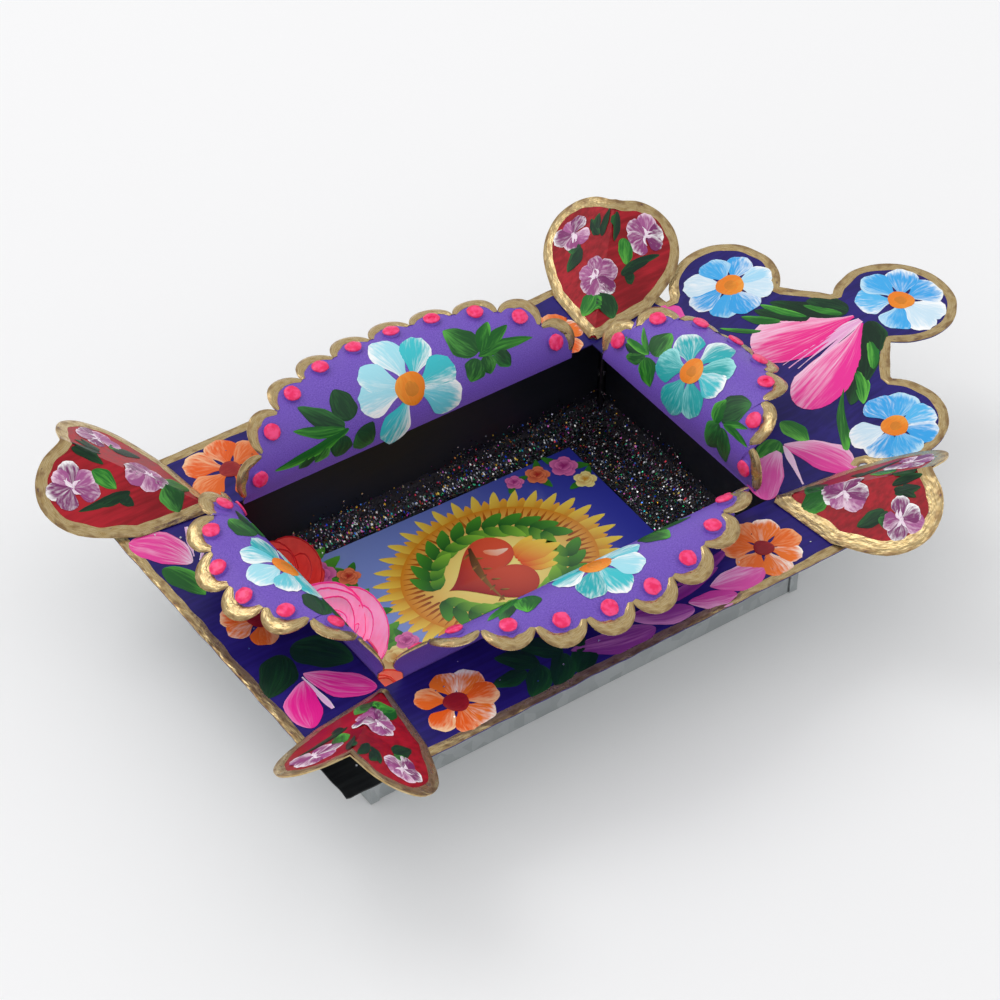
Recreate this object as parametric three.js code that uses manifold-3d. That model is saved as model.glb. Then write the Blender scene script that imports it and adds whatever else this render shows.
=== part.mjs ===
import * as THREE from 'three';
import { mergeVertices } from 'three/addons/utils/BufferGeometryUtils.js';
import Module from 'manifold-3d';

const wasm = await Module();
wasm.setup();

// A painted tin votive frame, in millimetres. It lies on its back: X runs to its right,
// Y up to its crown, Z out of its face, and Z = 0 is the outer face of the back panel.

// Sheet, and the gaps between the pieces
const TIN = 0.4;
const SEAT = 0.1;
const CLEAR = 0.3;
const GRID = 1 / 1024;

// Face plate and the opening inside its borders
const FRONT = 32;
const PLATE_WIDTH = 126.4;
const PLATE_LENGTH = 173.4;
const SIDE_BORDER = 25.2;
const END_BORDER = 27.45;
const OPENING_WIDTH = PLATE_WIDTH - 2 * SIDE_BORDER;
const OPENING_LENGTH = PLATE_LENGTH - 2 * END_BORDER;

// Crown on the top edge of the face plate: two side lobes and one top lobe, measured from that
// edge. It is bent forward by hand and levels off again.
const CROWN_SHOULDER = 22.2;
const CROWN_FOOT = PLATE_WIDTH / 2 - CROWN_SHOULDER;
const CROWN_RISE = 6.2;
const CROWN_LEVEL = 38;
const CROWN_BANDS = 6;
const SIDE_LOBE_INSET = 5.9;
const SIDE_LOBE = {
  x: CROWN_FOOT - SIDE_LOBE_INSET, y: 15.7, radius: 15.2, from: -68, to: 140,
};
const TOP_LOBE = { x: 0, y: 47, radius: 17, from: -45, to: 225 };

// Box behind the face plate, its walls set back from the opening all round
const SIDE_SETBACK = 5.1;
const END_SETBACK = 8.25;
const BOX_WIDTH = OPENING_WIDTH + 2 * SIDE_SETBACK;
const BOX_LENGTH = OPENING_LENGTH + 2 * END_SETBACK;
const WALL_FLANGE = 5;
const CORNER_LAP = 2.5;
const BACK_RIM = 3;
const SEAM = 1.8;

// Curled and scalloped flaps around the opening
const FLAP_FLANGE = SIDE_SETBACK - TIN - SEAT - 2 * CLEAR;
const DOT_PITCH = 12.4;
const SCALLOP_SHARE = 0.503;
const SCALLOP_OUTSET = 0.3;
const SCALLOP_STEPS = 6;
const FLAP_ROWS = 7;
const FLAP_END = 1.5;
const DOT_RADIUS = 2.1;
const DOT_HEIGHT = 0.9;
const DOT_TAPER = 0.75;
const FIRST_DOT = THREE.MathUtils.degToRad(12);
const LONG_FLAP = { edge: OPENING_LENGTH, inset: 10.75, curl: 16 };
const SHORT_FLAP = { edge: OPENING_WIDTH, inset: 7.5, curl: 14.5 };
// rise: height of the dot line up the strip; shift: along the opening; lean: angle at the fold,
// in degrees, and skew: its change for each millimetre along the fold
const FLAPS = {
  left: { ...LONG_FLAP, rise: 28.5, shift: -0.3, lean: -2, skew: 0.2 },
  right: { ...LONG_FLAP, rise: 34, shift: 2.6, lean: -6, skew: 0 },
  top: { ...SHORT_FLAP, rise: 33, shift: 0.8, lean: -6, skew: -0.6 },
  bottom: { ...SHORT_FLAP, rise: 32, shift: -0.8, lean: -10, skew: 0 },
};

// Folded corner petals: length of the crease, the outline as shares of it at equal angles from the
// crease to the straight edge, and how far each half is folded down, in degrees
const PETAL_LENGTH = 43.3;
const PETAL_OUTLINE = [1, 1.062, 1.074, 1.016, 0.843, 0.497];
const PETAL_HALF_ANGLE = THREE.MathUtils.degToRad(44.5);
const PETAL_FOLDS = { top_right: 26.5, top_left: 29.5, bottom_left: 25.5, bottom_right: 27.5 };
const PETAL_TIP = 1.2;
const PETAL_SET = 0.6;
const PETAL_COLUMNS = 16;
const PETAL_ROWS = 4;

// Picture card, glitter and paper roses inside the box
const CARD_WIDTH = 59.5;
const CARD_LENGTH = 93.5;
const CARD_THICK = 0.35;
const CARD_TURN = THREE.MathUtils.degToRad(-1.5);
const CARD_FROM_SIDE = 7.2;
const CARD_FROM_TOP = 16.2;
const GLITTER_THICK = 0.8;
const PAPER = 0.7;
const ROSE_RADIUS = 15.4;
const ROSE_HEIGHT = 22;
const ROSE_HEART = 0.3;
// spread is the angle a petal covers; low, high and reach are shares of the rose's size
const ROSE_RINGS = [
  { petals: 5, first: 0, spread: 1.4, low: 0.15, high: 0.75, reach: 1 },
  { petals: 3, first: 0.8, spread: 1.9, low: 0.3, high: 0.95, reach: 0.62 },
];
// across: share of the way from the middle to a side wall; up: in rose radii from the bottom wall
const ROSES = [
  { name: 'red_rose_left', across: -0.64, up: 1.14, wide: 0.81, high: 0.73, color: 0x9c1420 },
  { name: 'pink_rose', across: 0.035, up: 1.01, wide: 1, high: 1, color: 0xe8569a },
  { name: 'red_rose_right', across: 0.685, up: 0.82, wide: 0.74, high: 0.91, color: 0xc23a38 },
];

// Wire ring in a folded strap, low on the outside of the top wall
const WIRE = 0.7;
const RING_HALF = 7;
const RING_REACH = 12;
const RING_CORNER = 2.5;
const STRAP_WIDTH = 8;
const STRAP_HEIGHT = 10;

// Places that follow from the sizes
const WALL_TOP = FRONT - TIN - SEAT;
const FLOOR_TOP = TIN + SEAT;
const INSIDE_X = BOX_WIDTH / 2 - 2 * TIN - SEAT;
const INSIDE_Y = BOX_LENGTH / 2 - 2 * TIN - SEAT;
const EYE_BORE = WIRE + CLEAR;
const EYE_OUTER = EYE_BORE + TIN;
const EYE_Y = BOX_LENGTH / 2 + SEAT + EYE_OUTER;
const EYE_Z = EYE_OUTER + CLEAR;

// A geometry with its points set to a fine grid and the shared ones merged
function merged(geometry) {
  const bare = geometry.clone();
  bare.deleteAttribute('normal');
  bare.deleteAttribute('uv');
  bare.clearGroups();
  const numbers = bare.attributes.position.array;
  numbers.forEach((value, i) => {
    numbers[i] = Math.round(value / GRID) * GRID;
  });
  return mergeVertices(bare);
}

// Turns a closed shell inside out if its faces point in
function facingOut(shell) {
  const p = shell.attributes.position;
  const index = shell.index;
  const [a, b, c] = [new THREE.Vector3(), new THREE.Vector3(), new THREE.Vector3()];
  let volume = 0;
  for (let i = 0; i < index.count; i += 3) {
    a.fromBufferAttribute(p, index.getX(i));
    b.fromBufferAttribute(p, index.getX(i + 1));
    c.fromBufferAttribute(p, index.getX(i + 2));
    volume += a.dot(b.cross(c));
  }
  if (volume < 0) {
    for (let i = 0; i < index.count; i += 3) {
      const first = index.getX(i);
      index.setX(i, index.getX(i + 1));
      index.setX(i + 1, first);
    }
  }
  return shell;
}

function solid(geometry) {
  const shell = merged(geometry);
  return new wasm.Manifold(new wasm.Mesh({
    numProp: 3,
    vertProperties: shell.attributes.position.array,
    triVerts: new Uint32Array(shell.index.array),
  }));
}

function geometryOf(body) {
  const mesh = body.getMesh();
  const geometry = new THREE.BufferGeometry();
  geometry.setAttribute('position', new THREE.BufferAttribute(mesh.vertProperties, 3));
  geometry.setIndex(new THREE.BufferAttribute(mesh.triVerts, 1));
  return geometry;
}

function join(...geometries) {
  return geometryOf(geometries.map(solid).reduce((sum, next) => sum.add(next)));
}

function cut(geometry, ...tools) {
  return geometryOf(tools.map(solid).reduce((rest, tool) => rest.subtract(tool), solid(geometry)));
}

function common(geometry, tool) {
  return geometryOf(solid(geometry).intersect(solid(tool)));
}

function block(x0, x1, y0, y1, z0, z1) {
  const geometry = new THREE.BoxGeometry(x1 - x0, y1 - y0, z1 - z0);
  return geometry.translate((x0 + x1) / 2, (y0 + y1) / 2, (z0 + z1) / 2);
}

function slab(shape, thickness, curveSegments = 12) {
  return new THREE.ExtrudeGeometry(shape, { depth: thickness, bevelEnabled: false, curveSegments });
}

// A thin shaped sheet: point(u, v, depth) gives its surface, u across and v along, both 0 to 1,
// and depth 0 on one face and 1 on the other
function sheet(across, along, point) {
  const shell = merged(new THREE.BoxGeometry(1, 1, 1, across, along, 1));
  const p = shell.attributes.position;
  for (let i = 0; i < p.count; i += 1) {
    const at = point(p.getX(i) + 0.5, p.getY(i) + 0.5, p.getZ(i) + 0.5);
    p.setXYZ(i, at.x, at.y, at.z);
  }
  return facingOut(shell);
}

// Face plate with its opening, and the crown that grows from its top edge
function lobeArc(shape, lobe, mirrored) {
  const from = THREE.MathUtils.degToRad(mirrored ? 180 - lobe.to : lobe.from);
  const to = THREE.MathUtils.degToRad(mirrored ? 180 - lobe.from : lobe.to);
  const x = mirrored ? -lobe.x : lobe.x;
  shape.absarc(x, PLATE_LENGTH / 2 + lobe.y, lobe.radius, from, to, false);
}

// Forward bend of the crown at a place y beyond the plate's top edge
function crownLift(y) {
  const share = THREE.MathUtils.clamp(y / CROWN_LEVEL, 0, 1);
  return CROWN_RISE * share * (2 - share);
}

function facePlate() {
  const foot = PLATE_LENGTH / 2;
  const outline = new THREE.Shape();
  outline.moveTo(-PLATE_WIDTH / 2, -foot);
  outline.lineTo(PLATE_WIDTH / 2, -foot);
  outline.lineTo(PLATE_WIDTH / 2, foot);
  outline.lineTo(CROWN_FOOT, foot);
  lobeArc(outline, SIDE_LOBE, false);
  lobeArc(outline, TOP_LOBE, false);
  lobeArc(outline, SIDE_LOBE, true);
  outline.lineTo(-CROWN_FOOT, foot);
  outline.lineTo(-PLATE_WIDTH / 2, foot);
  const opening = new THREE.Path();
  opening.moveTo(-OPENING_WIDTH / 2, -OPENING_LENGTH / 2);
  opening.lineTo(OPENING_WIDTH / 2, -OPENING_LENGTH / 2);
  opening.lineTo(OPENING_WIDTH / 2, OPENING_LENGTH / 2);
  opening.lineTo(-OPENING_WIDTH / 2, OPENING_LENGTH / 2);
  outline.holes.push(opening);
  const flat = slab(outline, TIN, 16);

  // The flat sheet is cut in bands across the crown, each band bent, and the bands joined
  const reach = PLATE_LENGTH;
  const step = CROWN_LEVEL / CROWN_BANDS;
  const stops = Array.from({ length: CROWN_BANDS + 1 }, (_, i) => foot + i * step);
  const bands = [-reach, ...stops].map((from, i, all) => {
    const to = all[i + 1] ?? reach;
    const band = common(flat, block(-reach, reach, from, to, -1, TIN + 1));
    const p = band.attributes.position;
    for (let k = 0; k < p.count; k += 1) {
      p.setZ(k, p.getZ(k) + crownLift(p.getY(k) - foot));
    }
    return band;
  });
  return join(...bands).translate(0, 0, FRONT - TIN);
}

// Box: two long walls, two end walls whose tabs lap over them, and a rimmed back panel
function longWall() {
  const inner = BOX_WIDTH / 2 - TIN;
  const end = BOX_LENGTH / 2 - TIN - SEAT;
  const flangeEnd = BOX_LENGTH / 2 - CORNER_LAP - CLEAR;
  return join(
    block(inner, inner + TIN, -end, end, 0, WALL_TOP),
    block(inner, inner + TIN + WALL_FLANGE, -flangeEnd, flangeEnd, WALL_TOP - TIN, WALL_TOP),
  );
}

function endWall() {
  const lap = BOX_WIDTH / 2 + SEAT;
  const outer = BOX_LENGTH / 2;
  return join(
    block(-lap - TIN, lap + TIN, outer - TIN, outer, 0, WALL_TOP),
    block(-lap - TIN, -lap, outer - CORNER_LAP, outer, 0, WALL_TOP),
    block(lap, lap + TIN, outer - CORNER_LAP, outer, 0, WALL_TOP),
    block(-lap - TIN, lap + TIN, outer - TIN, outer + WALL_FLANGE, WALL_TOP - TIN, WALL_TOP),
  );
}

function backPanel() {
  const x = INSIDE_X + TIN;
  const y = INSIDE_Y + TIN;
  return cut(
    block(-x, x, -y, y, 0, BACK_RIM),
    block(-INSIDE_X, INSIDE_X, -INSIDE_Y, INSIDE_Y, TIN, BACK_RIM + 1),
  );
}

// Bead of solder that fills an inside corner of the box, above the rim of the back panel
function cornerSeam() {
  const section = new THREE.Shape();
  section.moveTo(0, 0);
  section.lineTo(-SEAM, 0);
  section.quadraticCurveTo(-SEAM / 3, -SEAM / 3, 0, -SEAM);
  return slab(section, WALL_TOP - BACK_RIM - 2 * CLEAR, 4).translate(0, 0, BACK_RIM + CLEAR);
}

// Flap: a flange under the plate, then a strip that rises through the opening and curls outwards
// as far as its row of dots, and is flat beyond them. t runs along the fold and s up the strip
// from the face of the plate.
function flapPoint(flap, t, s, depth) {
  const lean = THREE.MathUtils.degToRad(flap.lean + flap.skew * t);
  const bent = THREE.MathUtils.clamp(s, 0, flap.rise);
  const flat = s - bent;
  const turn = s > 0 ? lean + bent / flap.curl : 0;
  const across = new THREE.Vector2(Math.cos(turn), Math.sin(turn));
  const out = s > 0 ? flap.curl * (Math.cos(lean) - across.x) + flat * across.y : 0;
  const up = s > 0 ? flap.curl * (across.y - Math.sin(lean)) + flat * across.x : s;
  return new THREE.Vector3(
    t + flap.shift,
    -CLEAR - TIN + out + depth * across.x,
    up - depth * across.y,
  );
}

function dotPlaces(flap) {
  const half = flap.edge / 2 - flap.inset;
  const line = new THREE.EllipseCurve(0, 0, half, flap.rise, FIRST_DOT, Math.PI - FIRST_DOT);
  const steps = Math.round(line.getLength() / DOT_PITCH);
  return Array.from({ length: steps + 1 }, (_, i) => line.getPointAt(i / steps));
}

// The flat strip's edge: one arc round each dot, from notch to notch
function scallopEdge(flap) {
  const centres = dotPlaces(flap).map((dot) => dot.setLength(dot.length() + SCALLOP_OUTSET));
  const gaps = centres.slice(1).map((next, i) => next.distanceTo(centres[i]));
  const radius = SCALLOP_SHARE * Math.max(...gaps);
  const notches = centres.slice(1).map((next, i) => {
    const middle = next.clone().add(centres[i]).multiplyScalar(0.5);
    const outward = new THREE.Vector2(next.y - centres[i].y, centres[i].x - next.x).normalize();
    return middle.addScaledVector(outward, Math.sqrt(radius ** 2 - (gaps[i] / 2) ** 2));
  });
  const endReach = Math.sqrt(radius ** 2 - (centres[0].y - FLAP_END) ** 2);
  const start = new THREE.Vector2(centres[0].x + endReach, FLAP_END);
  const stops = [start, ...notches, new THREE.Vector2(-start.x, FLAP_END)];
  const edge = [start];
  centres.forEach((centre, i) => {
    const from = stops[i].clone().sub(centre).angle();
    const to = stops[i + 1].clone().sub(centre).angle();
    const arc = THREE.MathUtils.euclideanModulo(to - from, 2 * Math.PI);
    for (let k = 1; k <= SCALLOP_STEPS; k += 1) {
      const angle = from + (arc * k) / SCALLOP_STEPS;
      const spoke = new THREE.Vector2(Math.cos(angle), Math.sin(angle));
      edge.push(spoke.multiplyScalar(radius).add(centre));
    }
  });
  return edge;
}

function punchedDot(flap, dot) {
  const height = DOT_HEIGHT + TIN / 2;
  const bump = new THREE.CylinderGeometry(DOT_RADIUS, DOT_RADIUS * DOT_TAPER, height, 7);
  const front = flapPoint(flap, dot.x, dot.y, 0);
  const back = flapPoint(flap, dot.x, dot.y, 1);
  const inward = back.clone().sub(front).normalize();
  const axis = new THREE.Vector3(0, 1, 0);
  bump.applyQuaternion(new THREE.Quaternion().setFromUnitVectors(axis, inward));
  const middle = front.addScaledVector(inward, TIN / 2 - height / 2);
  return bump.translate(middle.x, middle.y, middle.z);
}

function flapStrip(flap) {
  const edge = scallopEdge(flap);
  const columns = edge.length - 1;
  const bottom = -TIN - SEAT - TIN;
  const foot = edge[0].x;
  const strip = sheet(columns, FLAP_ROWS, (u, v, depth) => {
    const rim = edge[Math.round(u * columns)];
    const base = foot * (1 - 2 * u);
    const row = Math.round(v * FLAP_ROWS);
    if (row === 0) {
      return flapPoint(flap, base, bottom, depth * TIN);
    }
    const climb = (row - 1) / (FLAP_ROWS - 1);
    const t = THREE.MathUtils.lerp(base, rim.x, climb);
    return flapPoint(flap, t, rim.y * climb, depth * TIN);
  });
  const { shift } = flap;
  const end = foot - TIN;
  const flange = block(shift - end, shift + end, -CLEAR - TIN / 2, FLAP_FLANGE, bottom, bottom + TIN);
  return join(strip, flange, ...dotPlaces(flap).map((dot) => punchedDot(flap, dot)));
}

// Petal: a heart-shaped leaf creased down the middle. Its tip points back along -X, and both
// straight edges beside the tip lie flat at Z = 0 while the crease rises between them.
function cornerPetal(foldDegrees) {
  const fold = THREE.MathUtils.degToRad(foldDegrees);
  const lift = Math.atan(Math.tan(PETAL_HALF_ANGLE) * Math.sin(fold));
  const outline = PETAL_OUTLINE.map((share, i) => new THREE.Vector2(i, share * PETAL_LENGTH));
  const radii = new THREE.SplineCurve(outline);
  const crease = new THREE.Vector3(Math.cos(lift), 0, Math.sin(lift));
  const up = new THREE.Vector3(-Math.sin(lift), 0, Math.cos(lift));
  return sheet(PETAL_COLUMNS, PETAL_ROWS, (u, v, depth) => {
    const side = Math.sign(Math.round((u - 0.5) * PETAL_COLUMNS));
    const share = Math.abs(2 * u - 1);
    const angle = share * PETAL_HALF_ANGLE;
    const r = THREE.MathUtils.lerp(PETAL_TIP, radii.getPoint(share).y, v);
    const wing = new THREE.Vector3(0, side * Math.cos(fold), 0)
      .addScaledVector(up, -Math.sin(fold));
    const normal = new THREE.Vector3(0, side * Math.sin(fold), 0)
      .addScaledVector(up, side === 0 ? 1 / Math.cos(fold) : Math.cos(fold));
    return new THREE.Vector3()
      .addScaledVector(crease, r * Math.cos(angle))
      .addScaledVector(wing, r * Math.sin(angle))
      .addScaledVector(normal, depth * TIN);
  });
}

// Picture card, and the glued glitter that covers the back panel around it
function cardOutline(Kind, grow) {
  const outline = new Kind();
  const corners = [[-grow, grow], [-grow, -CARD_LENGTH - grow],
    [CARD_WIDTH + grow, -CARD_LENGTH - grow], [CARD_WIDTH + grow, grow]];
  const pivot = new THREE.Vector2(0, 0);
  const place = new THREE.Vector2(CARD_FROM_SIDE - INSIDE_X, INSIDE_Y - CARD_FROM_TOP);
  outline.setFromPoints(corners.map(([x, y]) => new THREE.Vector2(x, y)
    .rotateAround(pivot, CARD_TURN)
    .add(place)));
  return outline;
}

function glitterBed() {
  const x = INSIDE_X - CLEAR;
  const y = INSIDE_Y - CLEAR;
  const outline = new THREE.Shape();
  const corners = [[-x, -y], [x, -y], [x, y], [-x, y]];
  outline.setFromPoints(corners.map(([a, b]) => new THREE.Vector2(a, b)));
  outline.holes.push(cardOutline(THREE.Path, CLEAR));
  return slab(outline, GLITTER_THICK).translate(0, 0, FLOOR_TOP);
}

// Paper rose: a rounded foot, a ring of open petals, a ring of upright ones and a rolled heart.
// Each petal grows from the heart, opens outwards and is highest in the middle of its rim.
function rosePetal(rose, ring, facing) {
  return sheet(4, 3, (u, v, depth) => {
    const angle = facing + (u - 0.5) * ring.spread;
    const drop = 0.3 * (2 * u - 1) ** 2;
    const tuck = 2 * PAPER * (u - 0.5) * v;
    const opened = THREE.MathUtils.lerp(ROSE_HEART, ring.reach, Math.sin((v * Math.PI) / 2));
    const r = opened * rose.wide * ROSE_RADIUS - PAPER - tuck - depth * PAPER;
    const rim = THREE.MathUtils.lerp(ring.high, ring.low, drop);
    const z = THREE.MathUtils.lerp(ring.low, rim, v ** 1.5) * rose.high * ROSE_HEIGHT;
    return new THREE.Vector3(r * Math.cos(angle), r * Math.sin(angle), z + depth * PAPER * v);
  });
}

function paperRose(rose) {
  const radius = rose.wide * ROSE_RADIUS;
  const height = rose.high * ROSE_HEIGHT;
  const foot = new THREE.LatheGeometry([
    new THREE.Vector2(0, 0),
    new THREE.Vector2(radius * 0.45, 0),
    new THREE.Vector2(radius * 0.7, height * 0.25),
    new THREE.Vector2(radius * 0.5, height * 0.55),
    new THREE.Vector2(0, height * 0.6),
  ], 12).rotateX(Math.PI / 2);
  const heart = new THREE.CylinderGeometry(radius * 0.2, radius * ROSE_HEART, height * 0.6, 9)
    .rotateX(Math.PI / 2).translate(0, 0, height * 0.7);
  const petals = ROSE_RINGS.flatMap((ring) => Array.from(
    { length: ring.petals },
    (_, i) => rosePetal(rose, ring, ring.first + (i * 2 * Math.PI) / ring.petals),
  ));
  return join(foot, heart, ...petals);
}

// Hanging ring: a wire bent to a D, its two ends meeting inside the eye of the strap
function hangerStrap() {
  const half = STRAP_WIDTH / 2;
  const eye = new THREE.CylinderGeometry(EYE_OUTER, EYE_OUTER, STRAP_WIDTH, 20)
    .rotateZ(Math.PI / 2).translate(0, EYE_Y, EYE_Z);
  const bore = new THREE.CylinderGeometry(EYE_BORE, EYE_BORE, STRAP_WIDTH + 1, 16)
    .rotateZ(Math.PI / 2).translate(0, EYE_Y, EYE_Z);
  const wall = BOX_LENGTH / 2 + SEAT;
  const leg = block(-half, half, wall, wall + TIN, EYE_Z, EYE_Z + STRAP_HEIGHT);
  return cut(join(eye, leg), bore);
}

function hangerRing() {
  const bend = RING_CORNER;
  const right = new THREE.EllipseCurve(RING_HALF - bend, bend, bend, bend, -Math.PI / 2, 0);
  const bow = new THREE.EllipseCurve(0, bend, RING_HALF, RING_REACH - bend, 0, Math.PI);
  const left = new THREE.EllipseCurve(bend - RING_HALF, bend, bend, bend, Math.PI, 1.5 * Math.PI);
  const points = [
    new THREE.Vector2(CLEAR / 2, 0),
    ...right.getPoints(3),
    ...bow.getPoints(10).slice(1, -1),
    ...left.getPoints(3),
    new THREE.Vector2(-CLEAR / 2, 0),
  ];
  const path = new THREE.CatmullRomCurve3(
    points.map(({ x, y }) => new THREE.Vector3(x, y, 0)),
    false,
    'centripetal',
  );
  const section = new THREE.Shape();
  section.absarc(0, 0, WIRE, 0, 2 * Math.PI);
  return new THREE.ExtrudeGeometry(section, { extrudePath: path, steps: 28, curveSegments: 6 });
}

// Finishes
function finish(color, roughness, metalness) {
  return new THREE.MeshStandardMaterial({ color, roughness, metalness });
}

const indigoPaint = finish(0x2d2378, 0.4, 0.0);
const violetPaint = finish(0x6e50aa, 0.4, 0.0);
const redPaint = finish(0x8c1e28, 0.4, 0.0);
const galvanised = finish(0xc4c8ca, 0.35, 0.9);
const solder = finish(0x55565a, 0.45, 0.8);
const printedCard = finish(0x4f6fae, 0.3, 0.0);
const glitter = finish(0x1c1c22, 0.6, 0.2);
const steelWire = finish(0x8f9296, 0.35, 0.9);

// The frame put together
const frame = new THREE.Group();

function add(name, geometry, material, x = 0, y = 0, z = 0, turn = 0) {
  const mesh = new THREE.Mesh(geometry, material);
  mesh.name = name;
  mesh.position.set(x, y, z);
  mesh.rotation.z = turn;
  frame.add(mesh);
}

add('face_plate', facePlate(), indigoPaint);
add('back_panel', backPanel(), galvanised);
add('wall_right', longWall(), galvanised);
add('wall_left', longWall(), galvanised, 0, 0, 0, Math.PI);
add('wall_top', endWall(), galvanised);
add('wall_bottom', endWall(), galvanised, 0, 0, 0, Math.PI);

const CORNERS = [
  { name: 'top_right', x: 1, y: 1 },
  { name: 'top_left', x: -1, y: 1 },
  { name: 'bottom_left', x: -1, y: -1 },
  { name: 'bottom_right', x: 1, y: -1 },
];
CORNERS.forEach(({ name, x, y }, quarter) => {
  const inX = BOX_WIDTH / 2 - TIN - SEAT;
  const inY = BOX_LENGTH / 2 - TIN - SEAT;
  add(`corner_seam_${name}`, cornerSeam(), solder, x * inX, y * inY, 0, (quarter * Math.PI) / 2);
  const tipX = x * (OPENING_WIDTH / 2 + PETAL_SET);
  const tipY = y * (OPENING_LENGTH / 2 + PETAL_SET);
  const diagonal = Math.atan2(y, x);
  add(`petal_${name}`, cornerPetal(PETAL_FOLDS[name]), redPaint, tipX, tipY, FRONT + SEAT, diagonal);
});

const SIDES = [
  { name: 'top', x: 0, y: OPENING_LENGTH / 2, turn: 0 },
  { name: 'left', x: -OPENING_WIDTH / 2, y: 0, turn: Math.PI / 2 },
  { name: 'bottom', x: 0, y: -OPENING_LENGTH / 2, turn: Math.PI },
  { name: 'right', x: OPENING_WIDTH / 2, y: 0, turn: -Math.PI / 2 },
];
SIDES.forEach(({ name, x, y, turn }) => {
  add(`flap_${name}`, flapStrip(FLAPS[name]), violetPaint, x, y, FRONT, turn);
});

add('print_card', slab(cardOutline(THREE.Shape, 0), CARD_THICK), printedCard, 0, 0, FLOOR_TOP);
add('glitter_bed', glitterBed(), glitter);
ROSES.forEach((rose) => {
  const paper = finish(rose.color, 0.8, 0.0);
  const x = rose.across * INSIDE_X;
  const y = rose.up * ROSE_RADIUS - INSIDE_Y;
  add(rose.name, paperRose(rose), paper, x, y, FLOOR_TOP + GLITTER_THICK + SEAT);
});
add('hanger_strap', hangerStrap(), galvanised);
add('hanger_ring', hangerRing(), steelWire, 0, EYE_Y, EYE_Z);

export default frame;
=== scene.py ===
import math
import random
from functools import partial

import bmesh
import bpy
from mathutils import Matrix, Vector, noise


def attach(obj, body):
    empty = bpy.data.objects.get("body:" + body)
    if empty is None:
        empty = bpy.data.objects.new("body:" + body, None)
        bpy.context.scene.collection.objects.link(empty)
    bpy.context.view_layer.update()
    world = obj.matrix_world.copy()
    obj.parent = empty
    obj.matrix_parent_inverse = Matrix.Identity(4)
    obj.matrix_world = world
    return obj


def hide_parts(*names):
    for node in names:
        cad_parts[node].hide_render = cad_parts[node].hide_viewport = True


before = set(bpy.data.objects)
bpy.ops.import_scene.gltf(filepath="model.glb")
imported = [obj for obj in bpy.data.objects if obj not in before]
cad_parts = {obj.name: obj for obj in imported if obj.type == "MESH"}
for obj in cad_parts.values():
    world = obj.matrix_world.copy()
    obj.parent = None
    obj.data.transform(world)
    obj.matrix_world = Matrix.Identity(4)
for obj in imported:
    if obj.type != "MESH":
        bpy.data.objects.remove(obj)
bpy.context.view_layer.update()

# The view. The frame lies on its back and is seen from above its long right side through a
# long lens, the way a small shop piece is photographed on a sheet of white paper.
camera = bpy.data.objects.new("camera", bpy.data.cameras.new("camera"))
camera.data.lens = 114.12
camera.data.sensor_width = 36
camera.matrix_world = Matrix((
    (0.57770, -0.55724, 0.59644, 0.484835),
    (0.81610, 0.38024, -0.43521, -0.352176),
    (0.01573, 0.73817, 0.67443, 0.581204),
    (0, 0, 0, 1),
))
bpy.context.scene.collection.objects.link(camera)
bpy.context.scene.camera = camera


# The walls of the box: four strips of bright galvanised tin, cut with snips. Each has a flange
# folded out at its top for the face plate, and the end walls' tabs lap over the long walls.
# The inside of the box is brushed black; the outside is left bare.
TIN = 0.4
SEAT = 0.1
FRONT = 32.0
BOX_WIDTH = 86.2
BOX_LENGTH = 135.0
WALL_TOP = FRONT - TIN - SEAT
WALL_FLANGE = 5.0
WALL_BEND = 0.8
FLANGE_SHORT = 2.3
CORNER_LAP = 2.5


def add_node(tree, kind, settings=None, **inputs):
    """A shader node; inputs are values or sockets, by socket name with _ for a space."""
    made = tree.nodes.new(kind)
    for key, value in (settings or {}).items():
        setattr(made, key, value)
    for key, value in inputs.items():
        socket = made.inputs[int(key[1:]) if key[0] == "_" else key.replace("_", " ")]
        if isinstance(value, bpy.types.NodeSocket):
            tree.links.new(value, socket)
        else:
            socket.default_value = value
    return made


def mix_colours(tree, share, first, second, how="MIX"):
    made = add_node(tree, "ShaderNodeMix", {"data_type": "RGBA", "blend_type": how},
                    _0=share, _6=first, _7=second)
    return made.outputs[2]


def remap(tree, value, low, high, to_low=0.0, to_high=1.0):
    made = add_node(tree, "ShaderNodeMapRange", {"interpolation_type": "SMOOTHSTEP"},
                    Value=value, From_Min=low, From_Max=high, To_Min=to_low, To_Max=to_high)
    return made.outputs[0]


def object_place(tree):
    return add_node(tree, "ShaderNodeTexCoord").outputs["Object"]


def cloud(tree, where, scale, detail=2.0, stretch=(1, 1, 1)):
    placed = add_node(tree, "ShaderNodeMapping", Vector=where, Scale=stretch)
    made = add_node(tree, "ShaderNodeTexNoise", Vector=placed.outputs[0], Scale=scale, Detail=detail)
    return made.outputs[0]


def tint(code, alpha=1.0):
    """The linear colour for a web code such as 2d2378."""
    parts = [int(code[i:i + 2], 16) / 255 for i in (0, 2, 4)]
    return tuple(p / 12.92 if p < 0.04045 else ((p + 0.055) / 1.055) ** 2.4 for p in parts) + (alpha,)


def new_finish(name, roughness=0.5, metallic=0.0, coat=0.0):
    """A material with its Principled shader: (material, tree, shader)."""
    material = bpy.data.materials.new(name)
    material.use_nodes = True
    tree = material.node_tree
    shader = tree.nodes["Principled BSDF"]
    shader.inputs["Roughness"].default_value = roughness
    shader.inputs["Metallic"].default_value = metallic
    shader.inputs["Coat Weight"].default_value = coat
    return material, tree, shader


def colour_by(tree, shader, colour, roughness=None):
    tree.links.new(colour, shader.inputs["Base Color"])
    if roughness is not None:
        tree.links.new(roughness, shader.inputs["Roughness"])


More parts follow.
